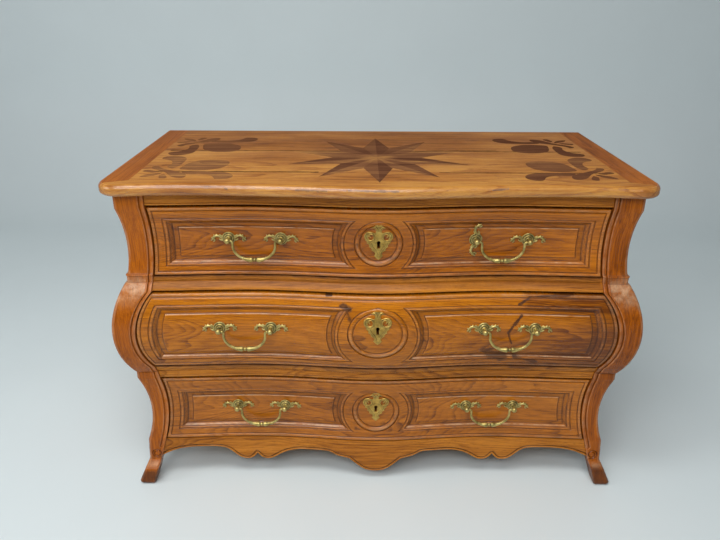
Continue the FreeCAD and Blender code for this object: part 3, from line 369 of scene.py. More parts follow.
boards = {  # kind, run of the grain, heart line, its slope, start, tone, spans, marks, extra
    "High": (caseWood, "X", (0.31, -0.69), 0.05, 0.2, 0, frontSpans),
    "Mid": (goldenWood, "X", (0.36, -0.43), 0.07, 1.7, 0, bellySpans, bellyMarks, patched),
    "Low": (redWood, "X", (0.31, -0.25), 0.06, 3.1, 0, frontSpans, lowMarks),
    "Rail": (railWood, "X", (0.5, -0.3), 0.02, 5.2, 0.02),
    "StileLeft": (stileWood, "Z", (0.35, 0.7), 0.04, 2.3),
    # painted shade: the right stile is toned darker, as the side away from the lamps
    "StileRight": (stileWood, "Z", (0.3, -0.6), 0.04, 6.1, 0.14),
    "Side": (caseWood, "Y", (0.75, -0.4), 0.05, 4.4),
    "TopFront": (topWood, "X", (0.2, -0.76), 0.02, 0.4, 0, topSpans, topMarks + rimMarks, mottled),
    "TopMiddle": (topWood, "X", (0.05, -0.74), 0.04, 2.4, 0, topSpans, topMarks, mottled),
    "TopRear": (topWood, "X", (-0.18, -0.77), 0.03, 4.7, 0, topSpans, topMarks, mottled),
    "TopEnd": (cleatWood, "Y", (0.6, -0.75), 0.02, 1.1),
    "Star": (inlayWood, "X", (0.1, -0.8), 0.05, 0, 0, (), (), starShade),
    "Flowers": (inlayWood, "X", (0.1, -0.8), 0.05, 0, 0, flowerSpans),
    "Inner": (innerWood, "X", (0.1, -0.2), 0.02),
    "InnerLong": (innerWood, "Y", (0.3, -0.3), 0.02),
    "InnerTall": (innerWood, "Z", (-0.2, 0.1), 0.02),
}
wood = {name: woodFinish("wood" + name, *given) for name, given in boards.items()}


# metal

brassTone = {"bright": (206, 186, 114), "mid": (168, 147, 82), "dark": (102, 88, 48), "green": (122, 128, 90)}
plateTone = {"bright": (202, 166, 84), "mid": (170, 134, 62), "dark": (106, 80, 36), "green": (134, 120, 66)}
brassLook = {
    "grime": (46, 44, 26), "stops": (0.3, 0.44, 0.62),
    # scale, detail, roughness
    "spots": (260.0, 4, 0.6), "cloud": (60.0, 5, 0.65), "bloom": (95.0, 4), "pits": (420.0, 3),
    "wearAndHighlight": 0.7, "green": (0.48, 0.7), "greenShare": 0.5, "dirt": (0.3, 0.7, 0.5, 0.95), "shine": 0.8, "dull": 0.6,
    "rough": (0.3, 0.7, 0.27, 0.46), "dirtRough": 0.25, "bump": (0.14, 0.0005),
}
ironLook = {
    "tones": [(0.35, (52, 46, 42)), (0.55, (72, 60, 52)), (0.7, (104, 66, 40))],
    "rust": (90.0, 5, 0.65), "pits": (300.0, 4), "shine": (0.45, 0.65, 0.9, 0.2), "rough": (0.3, 0.7, 0.42, 0.8),
    "bump": (0.25, 0.0008),
}


def brassFinish(name, tone, b):
    f = Finish(name)
    spots = f.noise(f.place, *b["spots"])
    stops = [(at, tone[key]) for at, key in zip(b["stops"], ("dark", "mid", "bright"))]
    color = f.shades(f.noise(f.place, *b["cloud"]), stops)
    color = f.blend(f.times(f.marked("wearAndHighlight"), b["wearAndHighlight"]), color, tint(tone["bright"]))
    green = f.span(f.noise(f.place, *b["bloom"]), *b["green"])
    color = f.blend(f.times(green, b["greenShare"]), color, tint(tone["green"]))
    dirt = f.times(f.marked("dirtAndShadeMask"), f.span(spots, *b["dirt"]))
    return f.coat({"Base Color": f.blend(dirt, color, tint(b["grime"])),
                   "Metallic": f.sum("SUBTRACT", b["shine"], f.times(dirt, b["dull"])),
                   "Roughness": f.plus(f.span(spots, *b["rough"]), f.times(dirt, b["dirtRough"])),
                   "Normal": f.bump(f.noise(f.place, *b["pits"]), *b["bump"])})


def ironFinish(name, i):
    f = Finish(name)
    rust = f.noise(f.place, *i["rust"])
    return f.coat({"Base Color": f.shades(rust, i["tones"]), "Metallic": f.span(rust, *i["shine"]),
                   "Roughness": f.span(rust, *i["rough"]),
                   "Normal": f.bump(f.noise(f.place, *i["pits"]), *i["bump"])})


brass = brassFinish("oldBrass", brassTone, brassLook)
plateBrass = brassFinish("plateBrass", plateTone, brassLook)
iron = ironFinish("lockIron", ironLook)
dressing = {
    "top_plank_front": "TopFront", "top_plank_middle": "TopMiddle", "top_plank_rear": "TopRear", "top_end": "TopEnd",
    "inlay_star": "Star", "inlay_flowers": "Flowers", "side_panel": "Side", "rail": "Rail", "apron": "Rail",
    "back_boards": "InnerTall", "dust_board": "Inner", "rear_rails": "Inner", "runners": "InnerLong",
}


def finishOf(node):
    words = node.split("_")
    for start, board in dressing.items():
        if node.startswith(start):
            return wood[board]
    if words[0] == "stile":
        return wood["Stile" + words[-1].capitalize()]
    if words[0] == "drawer" and words[-1] == "front":
        return wood[words[1].capitalize()]
    if words[0] == "drawer":
        return wood["InnerLong" if "side" in words else "Inner"]
    return iron if words[0] == "lock" else brass


for node in nodes:
    slots = nodes[node].data.materials
    slots.clear()
    slots.append(finishOf(node))
print("finishes ready")


# swelling front: out from the waist by height, serpentine by span

join = np.concatenate


def arcThrough(low, middle, high):
    # circle through three points of (out, height)
    a, b, c = (complex(*point) for point in (low, middle, high))
    ratio = (c - a) / (b - a)
    centre = a + (b - a) * (ratio - abs(ratio) ** 2) / (2j * ratio.imag)
    reach, side = abs(a - centre), math.copysign(1, b.real - centre.real)
    return lambda z: centre.real + side * np.sqrt(np.maximum(reach ** 2 - (np.asarray(z) - centre.imag) ** 2, 0))


def smoothThrough(points):
    # natural cubic through plan points
    x, y = (np.array(v, float) for v in zip(*points))
    step = np.diff(x)
    size = len(x)
    matrix = np.zeros((size, size))
    right = np.zeros(size)
    matrix[0, 0] = matrix[-1, -1] = 1
    for i in range(1, size - 1):
        matrix[i, i - 1:i + 2] = step[i - 1], 2 * (step[i - 1] + step[i]), step[i]
        right[i] = 6 * ((y[i + 1] - y[i]) / step[i] - (y[i] - y[i - 1]) / step[i - 1])
    bend = np.linalg.solve(matrix, right)

    def at(value):
        value = np.asarray(value, float)
        i = np.clip(np.searchsorted(x, value) - 1, 0, size - 2)
        a, b = (x[i + 1] - value) / step[i], (value - x[i]) / step[i]
        curve = ((a ** 3 - a) * bend[i] + (b ** 3 - b) * bend[i + 1]) * step[i] ** 2 / 6
        return a * y[i] + b * y[i + 1] + curve
    return at


def lengths(points):
    return join([[0], np.cumsum(np.linalg.norm(np.diff(points, axis=0), axis=1))])


def grid(*axes):
    return np.stack(np.broadcast_arrays(*axes), axis=-1)


def table(rows, width):
    # short rows end in noughts
    return np.array([row + (0,) * (width - len(row)) for row in rows], float)


def bell(value, centre, width):
    return np.exp(-((value - centre) / width) ** 2)


def smoothRun(points, step):
    # even points on a smooth line through the given ones
    points = np.asarray(points, float)
    along = lengths(points[:, :2])
    places = np.linspace(0, along[-1], max(int(along[-1] / step), 3) + 1)
    return grid(*(smoothThrough(list(zip(along, column)))(places) for column in points.T))


def cornered(points, corners, step):
    # smooth runs that meet in corners
    runs, start = [], 0
    for corner in [*corners, len(points) - 1]:
        runs.append(smoothRun(points[start:corner + 1], step)[min(start, 1):])
        start = corner
    return join(runs)


def between(first, last, count):
    return first + np.linspace(0, 1, count)[:, None] * (last - first)


frontDepth, frameBack = 266.0, -190.0
serpentine = smoothThrough([(-630, -6), (-472.5, -12), (-300, -18), (-150, -8), (0, 2),
                            (150, -8), (300, -18), (472.5, -12), (630, -6)])
neckOut = arcThrough((6, 617), (0, 690), (13.5, 785))
bellyOut = arcThrough((17.5, 346), (50, 469), (12, 597))
lowOut = arcThrough((12.5, 127), (-4.5, 212), (16.5, 325))
lowFrontOut = arcThrough((12.5, 127), (4, 212), (16.5, 325))
highEnd = arcThrough((550, 609), (544, 690), (548, 791))
midEnd = arcThrough((569, 366), (597, 480), (553, 576))
lowEnd = arcThrough((571, 127), (555, 230), (563, 325))


class Shell:
    # patches of points, in millimetres, gathered into one closed mesh

    def __init__(self):
        self.points, self.faces, self.shares = [], [], {"dirtAndShadeMask": [], "wearAndHighlight": []}
        self.count = 0

    def loose(self, points, faces, dirtAndShadeMask=0.0, wearAndHighlight=0.0):
        self.faces.extend([[i + self.count for i in face] for face in faces])
        self.points.append(points)
        for key, share in (("dirtAndShadeMask", dirtAndShadeMask), ("wearAndHighlight", wearAndHighlight)):
            self.shares[key].append(np.broadcast_to(share, len(points)))
        self.count += len(points)

    def patch(self, points, dirtAndShadeMask=0.0, wearAndHighlight=0.0, ringed=False):
        rows, cols = points.shape[:2]
        index = np.arange(rows * cols).reshape(rows, cols)
        if ringed:
            index = join([index, index[:, :1]], axis=1)
        quads = grid(index[:-1, :-1], index[:-1, 1:], index[1:, 1:], index[1:, :-1]).reshape(-1, 4)
        shares = (np.broadcast_to(share, (rows, cols)).reshape(-1) for share in (dirtAndShadeMask, wearAndHighlight))
        self.loose(points.reshape(-1, 3), quads.tolist(), *shares)

    def bar(self, points, dirtAndShadeMask=0.0, wearAndHighlight=0.0):
        self.patch(points, dirtAndShadeMask, wearAndHighlight, True)
        for loop in (points[0], points[-1]):
            self.patch(np.stack([loop, np.broadcast_to(loop.mean(axis=0), loop.shape)]), ringed=True)

    def wall(self, rim, depth, dirtAndShadeMask):
        sheet = np.stack([rim, rim])
        sheet[1, :, 1] = depth
        self.patch(sheet, dirtAndShadeMask)

    def flip(self):
        self.points = [part * (-1, 1, 1) for part in self.points]

    def mirror(self):
        self.faces += [[i + self.count for i in face[::-1]] for face in self.faces]
        self.points += [part * (-1, 1, 1) for part in self.points]
        for store in self.shares.values():
            store += store[:]
        self.count *= 2

    def mesh(self, name):
        mesh = bpy.data.meshes.new(name)
        mesh.from_pydata((join(self.points) * mm).tolist(), [], self.faces)
        return mesh

    def piece(self, name, material, body, replaced, slot, sharp=42.0, merge=0.02):
        mesh = self.mesh(name)
        for key, store in self.shares.items():
            addShare(mesh, key, join(store))
        work = bmesh.new()
        work.from_mesh(mesh)
        bmesh.ops.remove_doubles(work, verts=work.verts, dist=merge * mm)
        bmesh.ops.dissolve_degenerate(work, edges=work.edges, dist=merge * mm / 4)
        bmesh.ops.recalc_face_normals(work, faces=work.faces)
        work.to_mesh(mesh)
        work.free()
        mesh.polygons.foreach_set("use_smooth", [True] * len(mesh.polygons))
        mesh.set_sharp_from_angle(angle=math.radians(sharp))
        mesh.materials.append(material)
        settle(mesh, name, body, replaced)


def addShare(mesh, key, values):
    mesh.attributes.new(key, "FLOAT", "POINT").data.foreach_set("value", values.astype(np.float32))


def settle(mesh, name, body, replaced):
    piece = link(name, mesh)
    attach(piece, body)
    if replaced:
        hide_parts(*replaced)


# drawer fronts

fronts = {
    "high": {"floor": 609, "top": 791, "middle": 694.5, "half": 62, "disc": 697, "roundel": 60, "tall": 60, "gap": 22,
             "key": 700, "out": neckOut, "end": highEnd, "inner": -225, "handle": (299, 703)},
    "mid": {"floor": 366, "top": 576, "middle": 467, "half": 77, "disc": 475, "roundel": 76, "tall": 70.5, "gap": 21,
            "key": 492, "out": bellyOut, "end": midEnd, "inner": -245, "handle": (328, 484)},
    "low": {"floor": 127, "top": 325, "middle": 217, "half": 62.5, "disc": 218, "roundel": 64, "tall": 64, "gap": 22,
            "key": 233, "out": lowFrontOut, "end": lowEnd, "inner": -229, "handle": (307, 226)},
}
frontMoulding = {
    "gap": 2.0, "topGap": 6.0, "endMargin": 28.5, "across": 110, "upright": 56, "seam": 7, "ground": 9, "disc": 10,
    "keyRadius": 4.6, "keySlot": (6.4, 15.0), "tallShare": 0.8, "endShare": 1.18,
    "gapWallShade": 0.6, "lit": (0.4, 0, 1.2),
    # inset, depth, dirt with painted shade in the hollows, wear; what is left out is 0
    "edge": [(0, 2.6, .3), (.5, 1.2, 0, .2), (1.4, .4, 0, .3), (2.6, .1, 0, .3), (4.6, 0, 0, .15), (6.2, .25, 0, .2),
             (7.2, .8, .05, .15), (7.8, 1.6, .4), (8.3, 2.2, .65), (9.6, 2.2, .65), (10.2, 1.6, .4),
             (10.6, .5, .05, .1), (11.4, 0, 0, .05)],
    # painted shade: along the low side the rim is darkened and its wear taken out, a dark line for the gap under the
    # drawer
    "under": ((0, 0.8, 1.8, 3.0), (0.95, 0.8, 0.4, 0.0)),
    # then painted shade on the sides and top, turned from the light, painted highlight on the low side, painted
    # highlight on the high side
    "panel": [(0, 0, 0, .1, 0, .1, .1), (.6, 1.4, .5), (1.4, 1.8, .85), (2.4, 1.4, .5), (3.2, .6, .1, 0, .1),
              (4.6, .2, 0, .1), (6.4, .1, 0, .15), (8, .6, 0, .05, .1, .1), (9, 1.6, .35, 0, .1),
              (9.8, 2.6, .75, 0, .1), (10.8, 2.9, .45, 0, .2), (11.8, 3.3, .08, 0, .25, .2),
              (13.3, 4.5, 0, 0, .3, .9), (14.6, 5.7, 0, 0, .3, .8), (15.4, 6.4, .05, 0, .35, .1),
              (16.6, 7.6, .35, 0, .2), (17.8, 8.3, .8, 0, .1), (19, 8.4, .45, 0, .1), (20.5, 8.2, .14, 0, .1),
              (25, 7.8, .06, 0, .1), (28.2, 7.4, .25, 0, .1), (29.2, 7.2, .85, 0, .1), (29.9, 6.4, .55, 0, .1, 0, .2),
              (30.5, 5, .08, .1, 0, 0, .8), (31.6, 4.3, 0, .1, 0, 0, .7), (33, 4)],
    "ring": [(0, 0, 0, .2), (.5, 1.2, .3), (1.1, 2.4, .68), (2.2, 2.5, .68), (3, 1.9, .4), (4, 1.0, .05, .15),
             (5.6, .25, 0, .3), (8, -.2, 0, .36), (10.4, .25, 0, .3), (12.2, 1.2, 0, .15), (13.4, 2.4, .2),
             (14.2, 3.4, .6), (15.2, 3.6, .6), (16.2, 3.0, .3), (17, 2.3, .05, .1), (18.6, 2.0)],
}


def frontPoints(o, x, z, depth):
    return grid(x, depth - frontDepth - o["out"](z) - serpentine(x), z)


def keyholeHalf(key, count, slot=5, end=3):
    radius = frontMoulding["keyRadius"]
    wide, long = frontMoulding["keySlot"]
    meet = -math.sqrt(radius ** 2 - (wide / 2) ** 2)
    turns = np.linspace(math.pi / 2, math.atan2(meet, wide / 2), count - slot - end)
    x = join([radius * np.cos(turns), np.full(slot, wide / 2), np.linspace(wide / 2, 0, end + 1)[1:]])
    z = join([radius * np.sin(turns), np.linspace(meet, -long, slot + 1)[1:], np.full(end, -long)])
    return x, z + key


def drawerFront(name, o):
    f = frontMoulding
    n, m, seam = f["across"], f["upright"], f["seam"]
    across = np.linspace(0, 1, n)
    floor, top, middle, half = o["floor"] + f["gap"], o["top"] - f["topGap"], o["middle"], o["half"]
    edge, panels, ring = table(f["edge"], 4), table(f["panel"], 7), table(f["ring"], 4)
    shell = Shell()

    def face(x, z, depth, *shares, ringed=False):
        shell.patch(frontPoints(o, x, z, depth), *shares, ringed=ringed)

    def around(z0, z1, near, far):
        # along the low side, up the far end, back along the high side
        up = np.linspace(z0, z1, m)
        low, high = (near(z) + across * (far(z) - near(z)) for z in (z0, z1))
        return join([low, far(up)[1:-1], high[::-1]]), join([np.full(n, z0), up[1:-1], np.full(n, z1)]), up

    def rim(inset):
        return around(floor + inset, top - inset, lambda z: 0.0, lambda z: o["end"](z) - f["gap"] - inset)

    def panel(inset):
        reach, lift = o["roundel"] + o["gap"] + inset, inset * f["tallShare"]
        near = lambda z: np.sqrt(reach ** 2 - (z - middle) ** 2)
        far = lambda z: o["end"](z) - f["endMargin"] - inset * f["endShare"]
        x, z, up = around(middle - half + lift, middle + half - lift, near, far)
        x, z = join([x, near(up)[::-1][1:-1]]), join([z, up[::-1][1:-1]])
        return x, z, near(up)[:, None], far(up)[:, None], up[:, None]

    rows = [rim(inset) for inset in edge[:, 0]]
    x, z = (np.array([row[i] for row in rows]) for i in (0, 1))
    # painted shade along the low side of the rim
    under = np.interp(edge[:, :1], *f["under"]) * (np.arange(x.shape[1]) < n)
    face(x, z, edge[:, 1:2], np.maximum(edge[:, 2:3], under), edge[:, 3:] * (1 - under))
    # painted shade: the walls round the front, in the gaps, are darkened
    shell.wall(frontPoints(o, x[0], z[0], edge[0, 1]), o["inner"], f["gapWallShade"])
    up = np.linspace(floor, top, m)[:, None]
    shell.patch(grid(across * (o["end"](up) - f["gap"]), o["inner"], up))
    rimX, rimZ = x[-1], z[-1]

    rows = [panel(inset) for inset in panels[:, 0]]
    x, z = (np.array([row[i] for row in rows]) for i in (0, 1))
    sides = (n, m - 2, n, m - 2)
    # painted shade on the sides and top of the panel moulding, turned from the light, and painted highlight on its low
    # side and on the field's high edge
    turned, low, high = (np.repeat(shares, sides) for shares in ((0, 1, 0.7, 1), (1, 0, 0, 0), (0, 0, 1, 0)))
    wearAndHighlight = panels[:, 3:4] + panels[:, 5:6] * low + panels[:, 6:] * high
    face(x, z, panels[:, 1:2], panels[:, 2:3] + panels[:, 4:5] * turned, wearAndHighlight, ringed=True)
    near, far, up = rows[-1][2:]
    face(near + across * (far - near), up, panels[-1, 1])

    # plain ground between the rim, the panel and the roundel
    inset, crown, base = edge[-1, 0], o["disc"] + o["tall"], o["disc"] - o["tall"]
    turns = np.linspace(math.pi / 2, -math.pi / 2, m - 2 * seam)
    upper, lower = (np.linspace(*ends, seam + 2)[1:-1] for ends in ((top - inset, crown), (base, floor + inset)))
    innerX = join([np.zeros(seam), o["roundel"] * np.cos(turns), np.zeros(seam)])
    innerZ = join([upper, o["disc"] + o["tall"] * np.sin(turns), lower])
    groundX = between(x[0], join([rimX, innerX[1:-1]]), f["ground"])
    groundZ = between(z[0], join([rimZ, innerZ[1:-1]]), f["ground"])
    face(groundX, groundZ, 0.0, ringed=True)

    # roundel and its keyhole
    ringX = (o["roundel"] - ring[:, :1]) * np.cos(turns)
    ringZ = o["disc"] + (o["tall"] - ring[:, :1]) * np.sin(turns)
    # painted highlight: the ring's wear is strengthened on its lower half, which faces up
    lit = np.clip(f["lit"][0] - np.sin(turns), *f["lit"][1:])
    face(ringX, ringZ, ring[:, 1:2], ring[:, 2:3], ring[:, 3:] * lit)
    keyX, keyZ = keyholeHalf(o["key"], len(turns))
    sunk = ring[-1, 1]
    face(between(ringX[-1], keyX, f["disc"]), between(ringZ[-1], keyZ, f["disc"]), sunk)
    # painted shade: the keyhole's walls are darkened fully
    shell.wall(frontPoints(o, keyX, keyZ, sunk), o["inner"], 1.0)
    shell.mirror()
    body = "drawer_" + name
    shell.piece("front_" + name, wood[name.capitalize()], body, [body + "_front"], "wood_case")


for name, opening in fronts.items():
    drawerFront(name, opening)
print("drawer fronts made")


# rails

railForm = {"count": 181, "wearAndHighlight": 0.36, "backDirt": 0.2, "pocketHalf": 13.0, "pocketDeep": 13.0, "pocket": (-1.0, 6.3)}
rails = {
    # height, sunk behind the swell, dirt and painted shade, wear
    "rail_frieze": {"bolt": "high", "ends": (548, 548), "swell": lambda z: 13.5,
                    "profile": [
        (791, 2.4, .5), (791.4, .9, .1, .3), (792.6, .1, 0, .5), (795.4, 0, 0, .3), (796.2, .9, .45),
        (797.2, .9, .45), (797.9, .1, 0, .2), (806, 0), (817, 0, .1), (822, 0, .5)]},
    "rail_upper": {"bolt": "mid", "ends": (553, 550), "swell": lambda z: np.where(z < 597, bellyOut(z), 9.0),
                   "profile": [
        (576, 3.4, .5), (576.3, 1.6, .2, .2), (577.2, .7, 0, .3), (579, .2, 0, .4), (582, 0, 0, .5),
        # painted shade: the upper part of the swell and the block above it darkened, deepest at the gap under the high
        # drawer
        (584.6, 0, .12, .1), (587, 0, .28), (590, 0, .36), (592.8, .2, .4), (594.8, .8, .4),
        (596, 1.7, .5), (596.8, 3.0, .6), (597.3, .9, .5), (598.2, .3, .3), (601, 0, .2),
        (605, 0, .25), (606.8, .1, .6), (608, .5, .8), (608.7, 1.4, .9), (609, 2.6, .9)]},
    "rail_lower": {"bolt": "low", "ends": (563, 569), "swell": lambda z: np.where(z < 346, 16.5, bellyOut(z)),
                   "profile": [
        (325, 3.0, .5), (325.4, 1.3, .2, .3), (326.6, .3, 0, .6), (328.8, 0, 0, .5), (330.4, .1, 0, .4),
        (331.1, 1.0, .4), (332.1, 1.0, .4), (332.9, .1, 0, .3), (338, 0, 0, .1), (343.6, 0, 0, .1),
        (345.2, .6, .2), (345.9, 1.5, .45), (346.3, 1.2, .3), (347.4, .3, 0, .3), (350, 0, 0, .3),
        # painted shade: the top of the rail darkened, a dark line under the middle drawer
        (357, 0, 0, .2), (360.5, .1, .15, .1), (362.4, .3, .5), (364.6, 1.2, .85), (365.6, 2.6, .95),
        (366, 4.4, .95)]},
}


def railPiece(name, r, f):
    z, sunk, dirt, wearAndHighlight = table(r["profile"], 4).T
    nick = f["pocketHalf"] / r["ends"][0]
    share = np.sort(join([np.linspace(-1, 1, f["count"]), [-nick, -nick, nick, nick]]))
    inside = np.zeros((len(share), 1))
    inside[np.searchsorted(share, -nick) + 1:np.searchsorted(share, nick) + 1] = f["pocketDeep"]
    share = share[:, None]
    reach = np.interp(z, z[[0, -1]], r["ends"])
    x = share * reach
    face = grid(x, sunk - frontDepth - r["swell"](z) - serpentine(x), z)
    back = face[:, [-1, 0]].copy()
    back[:, :, 1] = frameBack
    ahead, behind = (fronts[r["bolt"]]["inner"] + depth for depth in f["pocket"])
    pocket = [grid(share * reach[0], depth, z[0] + lift * inside)
              for depth, lift in ((behind, 0), (behind, 1), (ahead, 1), (ahead, 0))]
    hidden = np.ones(2 + len(pocket))
    dirt, wearAndHighlight = join([dirt, hidden * f["backDirt"]]), join([wearAndHighlight * f["wearAndHighlight"], hidden * 0])
    shell = Shell()
    shell.bar(join([face, back] + pocket, axis=1), dirt, wearAndHighlight)
    shell.piece(name.replace("rail", "moulded_rail"), wood["Rail"], "carcass", [name], "wood_case")


for name, rail in rails.items():
    railPiece(name, rail, railForm)


# apron with its scalloped lip

apron = {
    "top": 127.0, "out": 12.5, "thick": 26.0, "bar": 96.0, "topHalf": 571.0, "step": 1.6, "upper": 9, "near": 60,
    "edge": [(0, 26), (24, 30), (49, 46), (71, 66), (88, 70), (106, 75), (122, 84), (160, 88), (200, 88), (237, 81),
             (266, 66), (289, 53), (311, 55), (326, 70), (341, 55), (362, 53), (385, 67), (405, 86), (448, 96),
             (498, 96), (547, 88), (588, 70)],
    "corners": (3, 13),
    "rise": [0, .5, 1.2, 2, 3, 4, 5, 5.8, 6.4, 7, 7.6, 8.2, 8.9, 9.8, 11.5, 14],
    # away from the edge, sunk, dirt
    "lip": [(0, 3.4, .5), (.6, 1.9, .15), (1.5, 1.1), (3, .8), (4.6, 1.0), (5.6, 1.7, .3), (6.3, 3.0, .85),
            (7.6, 3.2, .9), (8.3, 1.8, .7), (9.1, .5, .25), (10.2, 0)],
    "wearAndHighlight": ((0, 1, 3, 5, 6), (0, .3, .4, .2, 0)), "backDirt": 0.3,
}


def apronEdge(a):
    half, middle = a["edge"], len(a["edge"]) - 1
    corners = sorted(middle + sign * i for i in a["corners"] for sign in (-1, 1))
    return cornered([(-x, z) for x, z in half[:0:-1]] + half, corners, a["step"])


def apronPiece(a):
    edge = apronEdge(a)
    x0, z0 = edge[:, :1], edge[:, 1:]
    rise = np.array(a["rise"])
    tall = a["top"] - z0
    upper = np.linspace(0, 1, a["upper"])[1:]
    z = join([z0 + rise, z0 + rise[-1] + upper * (tall - rise[-1])], axis=1)
    x = x0 * (1 + (a["topHalf"] / a["edge"][-1][0] - 1) * (z - z0) / tall)
    away = np.empty_like(z)
    for i in range(len(z)):
        near = edge[max(i - a["near"], 0):i + a["near"] + 1]
        away[i] = np.hypot(x[i][:, None] - near[:, 0], z[i][:, None] - near[:, 1]).min(axis=1)
    lip = table(a["lip"], 3).T
    sunk, dirt = (np.interp(away, lip[0], values) for values in lip[1:])
    plain = -frontDepth - a["out"] - serpentine(x)
    behind, bar = plain[:, :1] + a["thick"], np.maximum(z0, a["bar"])
    rear = [(x[:, -1:], frameBack, a["top"]), (x0, frameBack, bar), (x0, behind, bar), (x0, behind, z0)]
    points = join([grid(x, plain + sunk, z)] + [grid(*part) for part in rear], axis=1)
    hidden = np.ones((len(x), len(rear)))
    dirt, wearAndHighlight = join([dirt, hidden * a["backDirt"]], axis=1), join([np.interp(away, *a["wearAndHighlight"]), hidden * 0], axis=1)
    shell = Shell()
    shell.bar(points, dirt, wearAndHighlight)
    shell.piece("scalloped_apron", wood["Rail"], "carcass", ["apron"], "wood_case")


apronPiece(apron)
print("rails and apron made")


# front stiles

stile = {
    "half": 606.0, "arris": 9.0, "face": 30, "corner": 8, "stripFoot": (100.0, 108.0), "thin": 0.3,
    "arrisFoot": 0.85, "lip": 0.9, "lipWide": 3, "arrisWearAndHighlight": (0.3, 0.6), "hiddenDirt": 0.3,
    # where the rows of points lie on the hidden sides
    "inside": (0, 0.35, 0.7), "outside": (0.2, 0.45, 0.7, 1), "behind": (0.35, 0.7),
    # inset from the drawer side, depth behind the face, dirt, wear
    "strip": [(0, 5.0, .5), (.3, 3.9, .2, .2), (1.0, 3.25, 0, .4), (2.2, 3, 0, .3), (8.0, 3, 0, .1), (9.1, 3.3, .2),
              (9.8, 4.4, .5), (10.6, 4.5, .5), (11.1, 3.1, .3), (11.6, 1.4, 0, .2), (12.4, .5, 0, .4),
              (13.6, .1, 0, .2), (15.2, 0)],
    # heights, and how far out at a height
    "foot": [0, .8, 2, 4, 7, 11, 16, 22, 28, 34, 40, 44, 47, 49, 50.5, 52, 54, 56, 58, 60, 62, 64, 65.3, 66.4, 68, 70,
             *range(71, 103), 104, 106, 108, 110, 113, 117, 121, 125],
    "footFront": [(0, 30), (.8, 33), (2, 35.6), (4, 38), (7, 39.8), (11, 40.5), (40, 38.8), (47, 38.3), (49, 37.6),
                  (50.5, 36.6), (52, 34.9), (62, 20.8), (64, 17.9), (65.3, 16.2), (66.4, 15.3), (68, 14.95),
                  (127, 12.5)],
    "footSide": [(0, 30), (.8, 33), (2, 35.6), (4, 38), (7, 39.8), (11, 40.5), (64, 16.2), (66, 15.2), (68, 14.9),
                 (127, 12.5)],
    "low": (129, 320, 30), "belly": (349, 593, 62), "neck": (621, 785, 28), "head": (795, 808, 822.0), "headOut": 13.5,
    "mendRows": [364.6, 365.4, 366.2, 367, 367.8, 368.6],
    "block": [(324, 15.4), (325.2, 16.3), (326.5, 16.5), (344, 16.5), (345.4, 16.2), (346, 15.8), (346.5, 16.8)],
    "bead": [(595.4, 12.2), (596.5, 11.5), (597, 10.1), (597.4, 9.1), (598.4, 9), (604, 9), (611.4, 9), (612, 9.1),
             (612.5, 9.6), (613.3, 10), (614.5, 10.1), (615.8, 9.8), (616.8, 9), (617.3, 8), (617.7, 7), (618.6, 6.2)],
    # side towards the drawers, from the top down: height where it ends, reach
    "inner": [(791, lambda z: 548), (609, highEnd), (576, lambda z: np.interp(z, [576, 609], [553, 550])),
              (366, midEnd), (325, lambda z: np.interp(z, [325, 366], [563, 569])), (127, lowEnd),
              (-1, lambda z: np.interp(z, [0, 66, 127], [607, 588, 571]))],
    "back": ([0, 66, 127, 128], [-262.5, -237, -190, -190]),
    # height, spread, share; shine is a painted highlight on the up-facing belly top and on the instep of the foot
    "shine": [(582, 26, .9), (58, 5, .5)], "lines": [(346, .9, .4), (597.2, .9, .4), (618, .9, .4)],
    "volute": {"centre": (597.0, 86.0), "start": 0.35, "reach": 14.6, "wind": 8.6, "laps": 1.7, "end": 1.62,
               "width": 1.35, "deep": 2.6, "boss": 15.5, "lift": 1.1, "dirt": 0.85},
    "mend": {"level": 366.4, "tilt": 0.06, "about": 600, "width": 0.7, "dirt": 0.6},
    # height, fade, share
    "mendToe": (64, 12, .72), "toe": (50, 10, .78),
}


def scrollCut(v, x, z):
    # a groove wound in about the ankle, and the boss it leaves
    away, rise = x - v["centre"][0], z - v["centre"][1]
    reach = np.hypot(away, rise)
    turn = np.mod(np.arctan2(rise, away) / (2 * math.pi) + v["start"], 1)
    cut = np.zeros_like(reach)
    for wound in (turn, turn + 1):
        line = v["reach"] - v["wind"] * wound / v["laps"]
        cut = np.maximum(cut, bell(reach, line, v["width"]) * (wound < v["end"]))
    return cut, np.clip(1 - (reach / v["boss"]) ** 4, 0, 1)


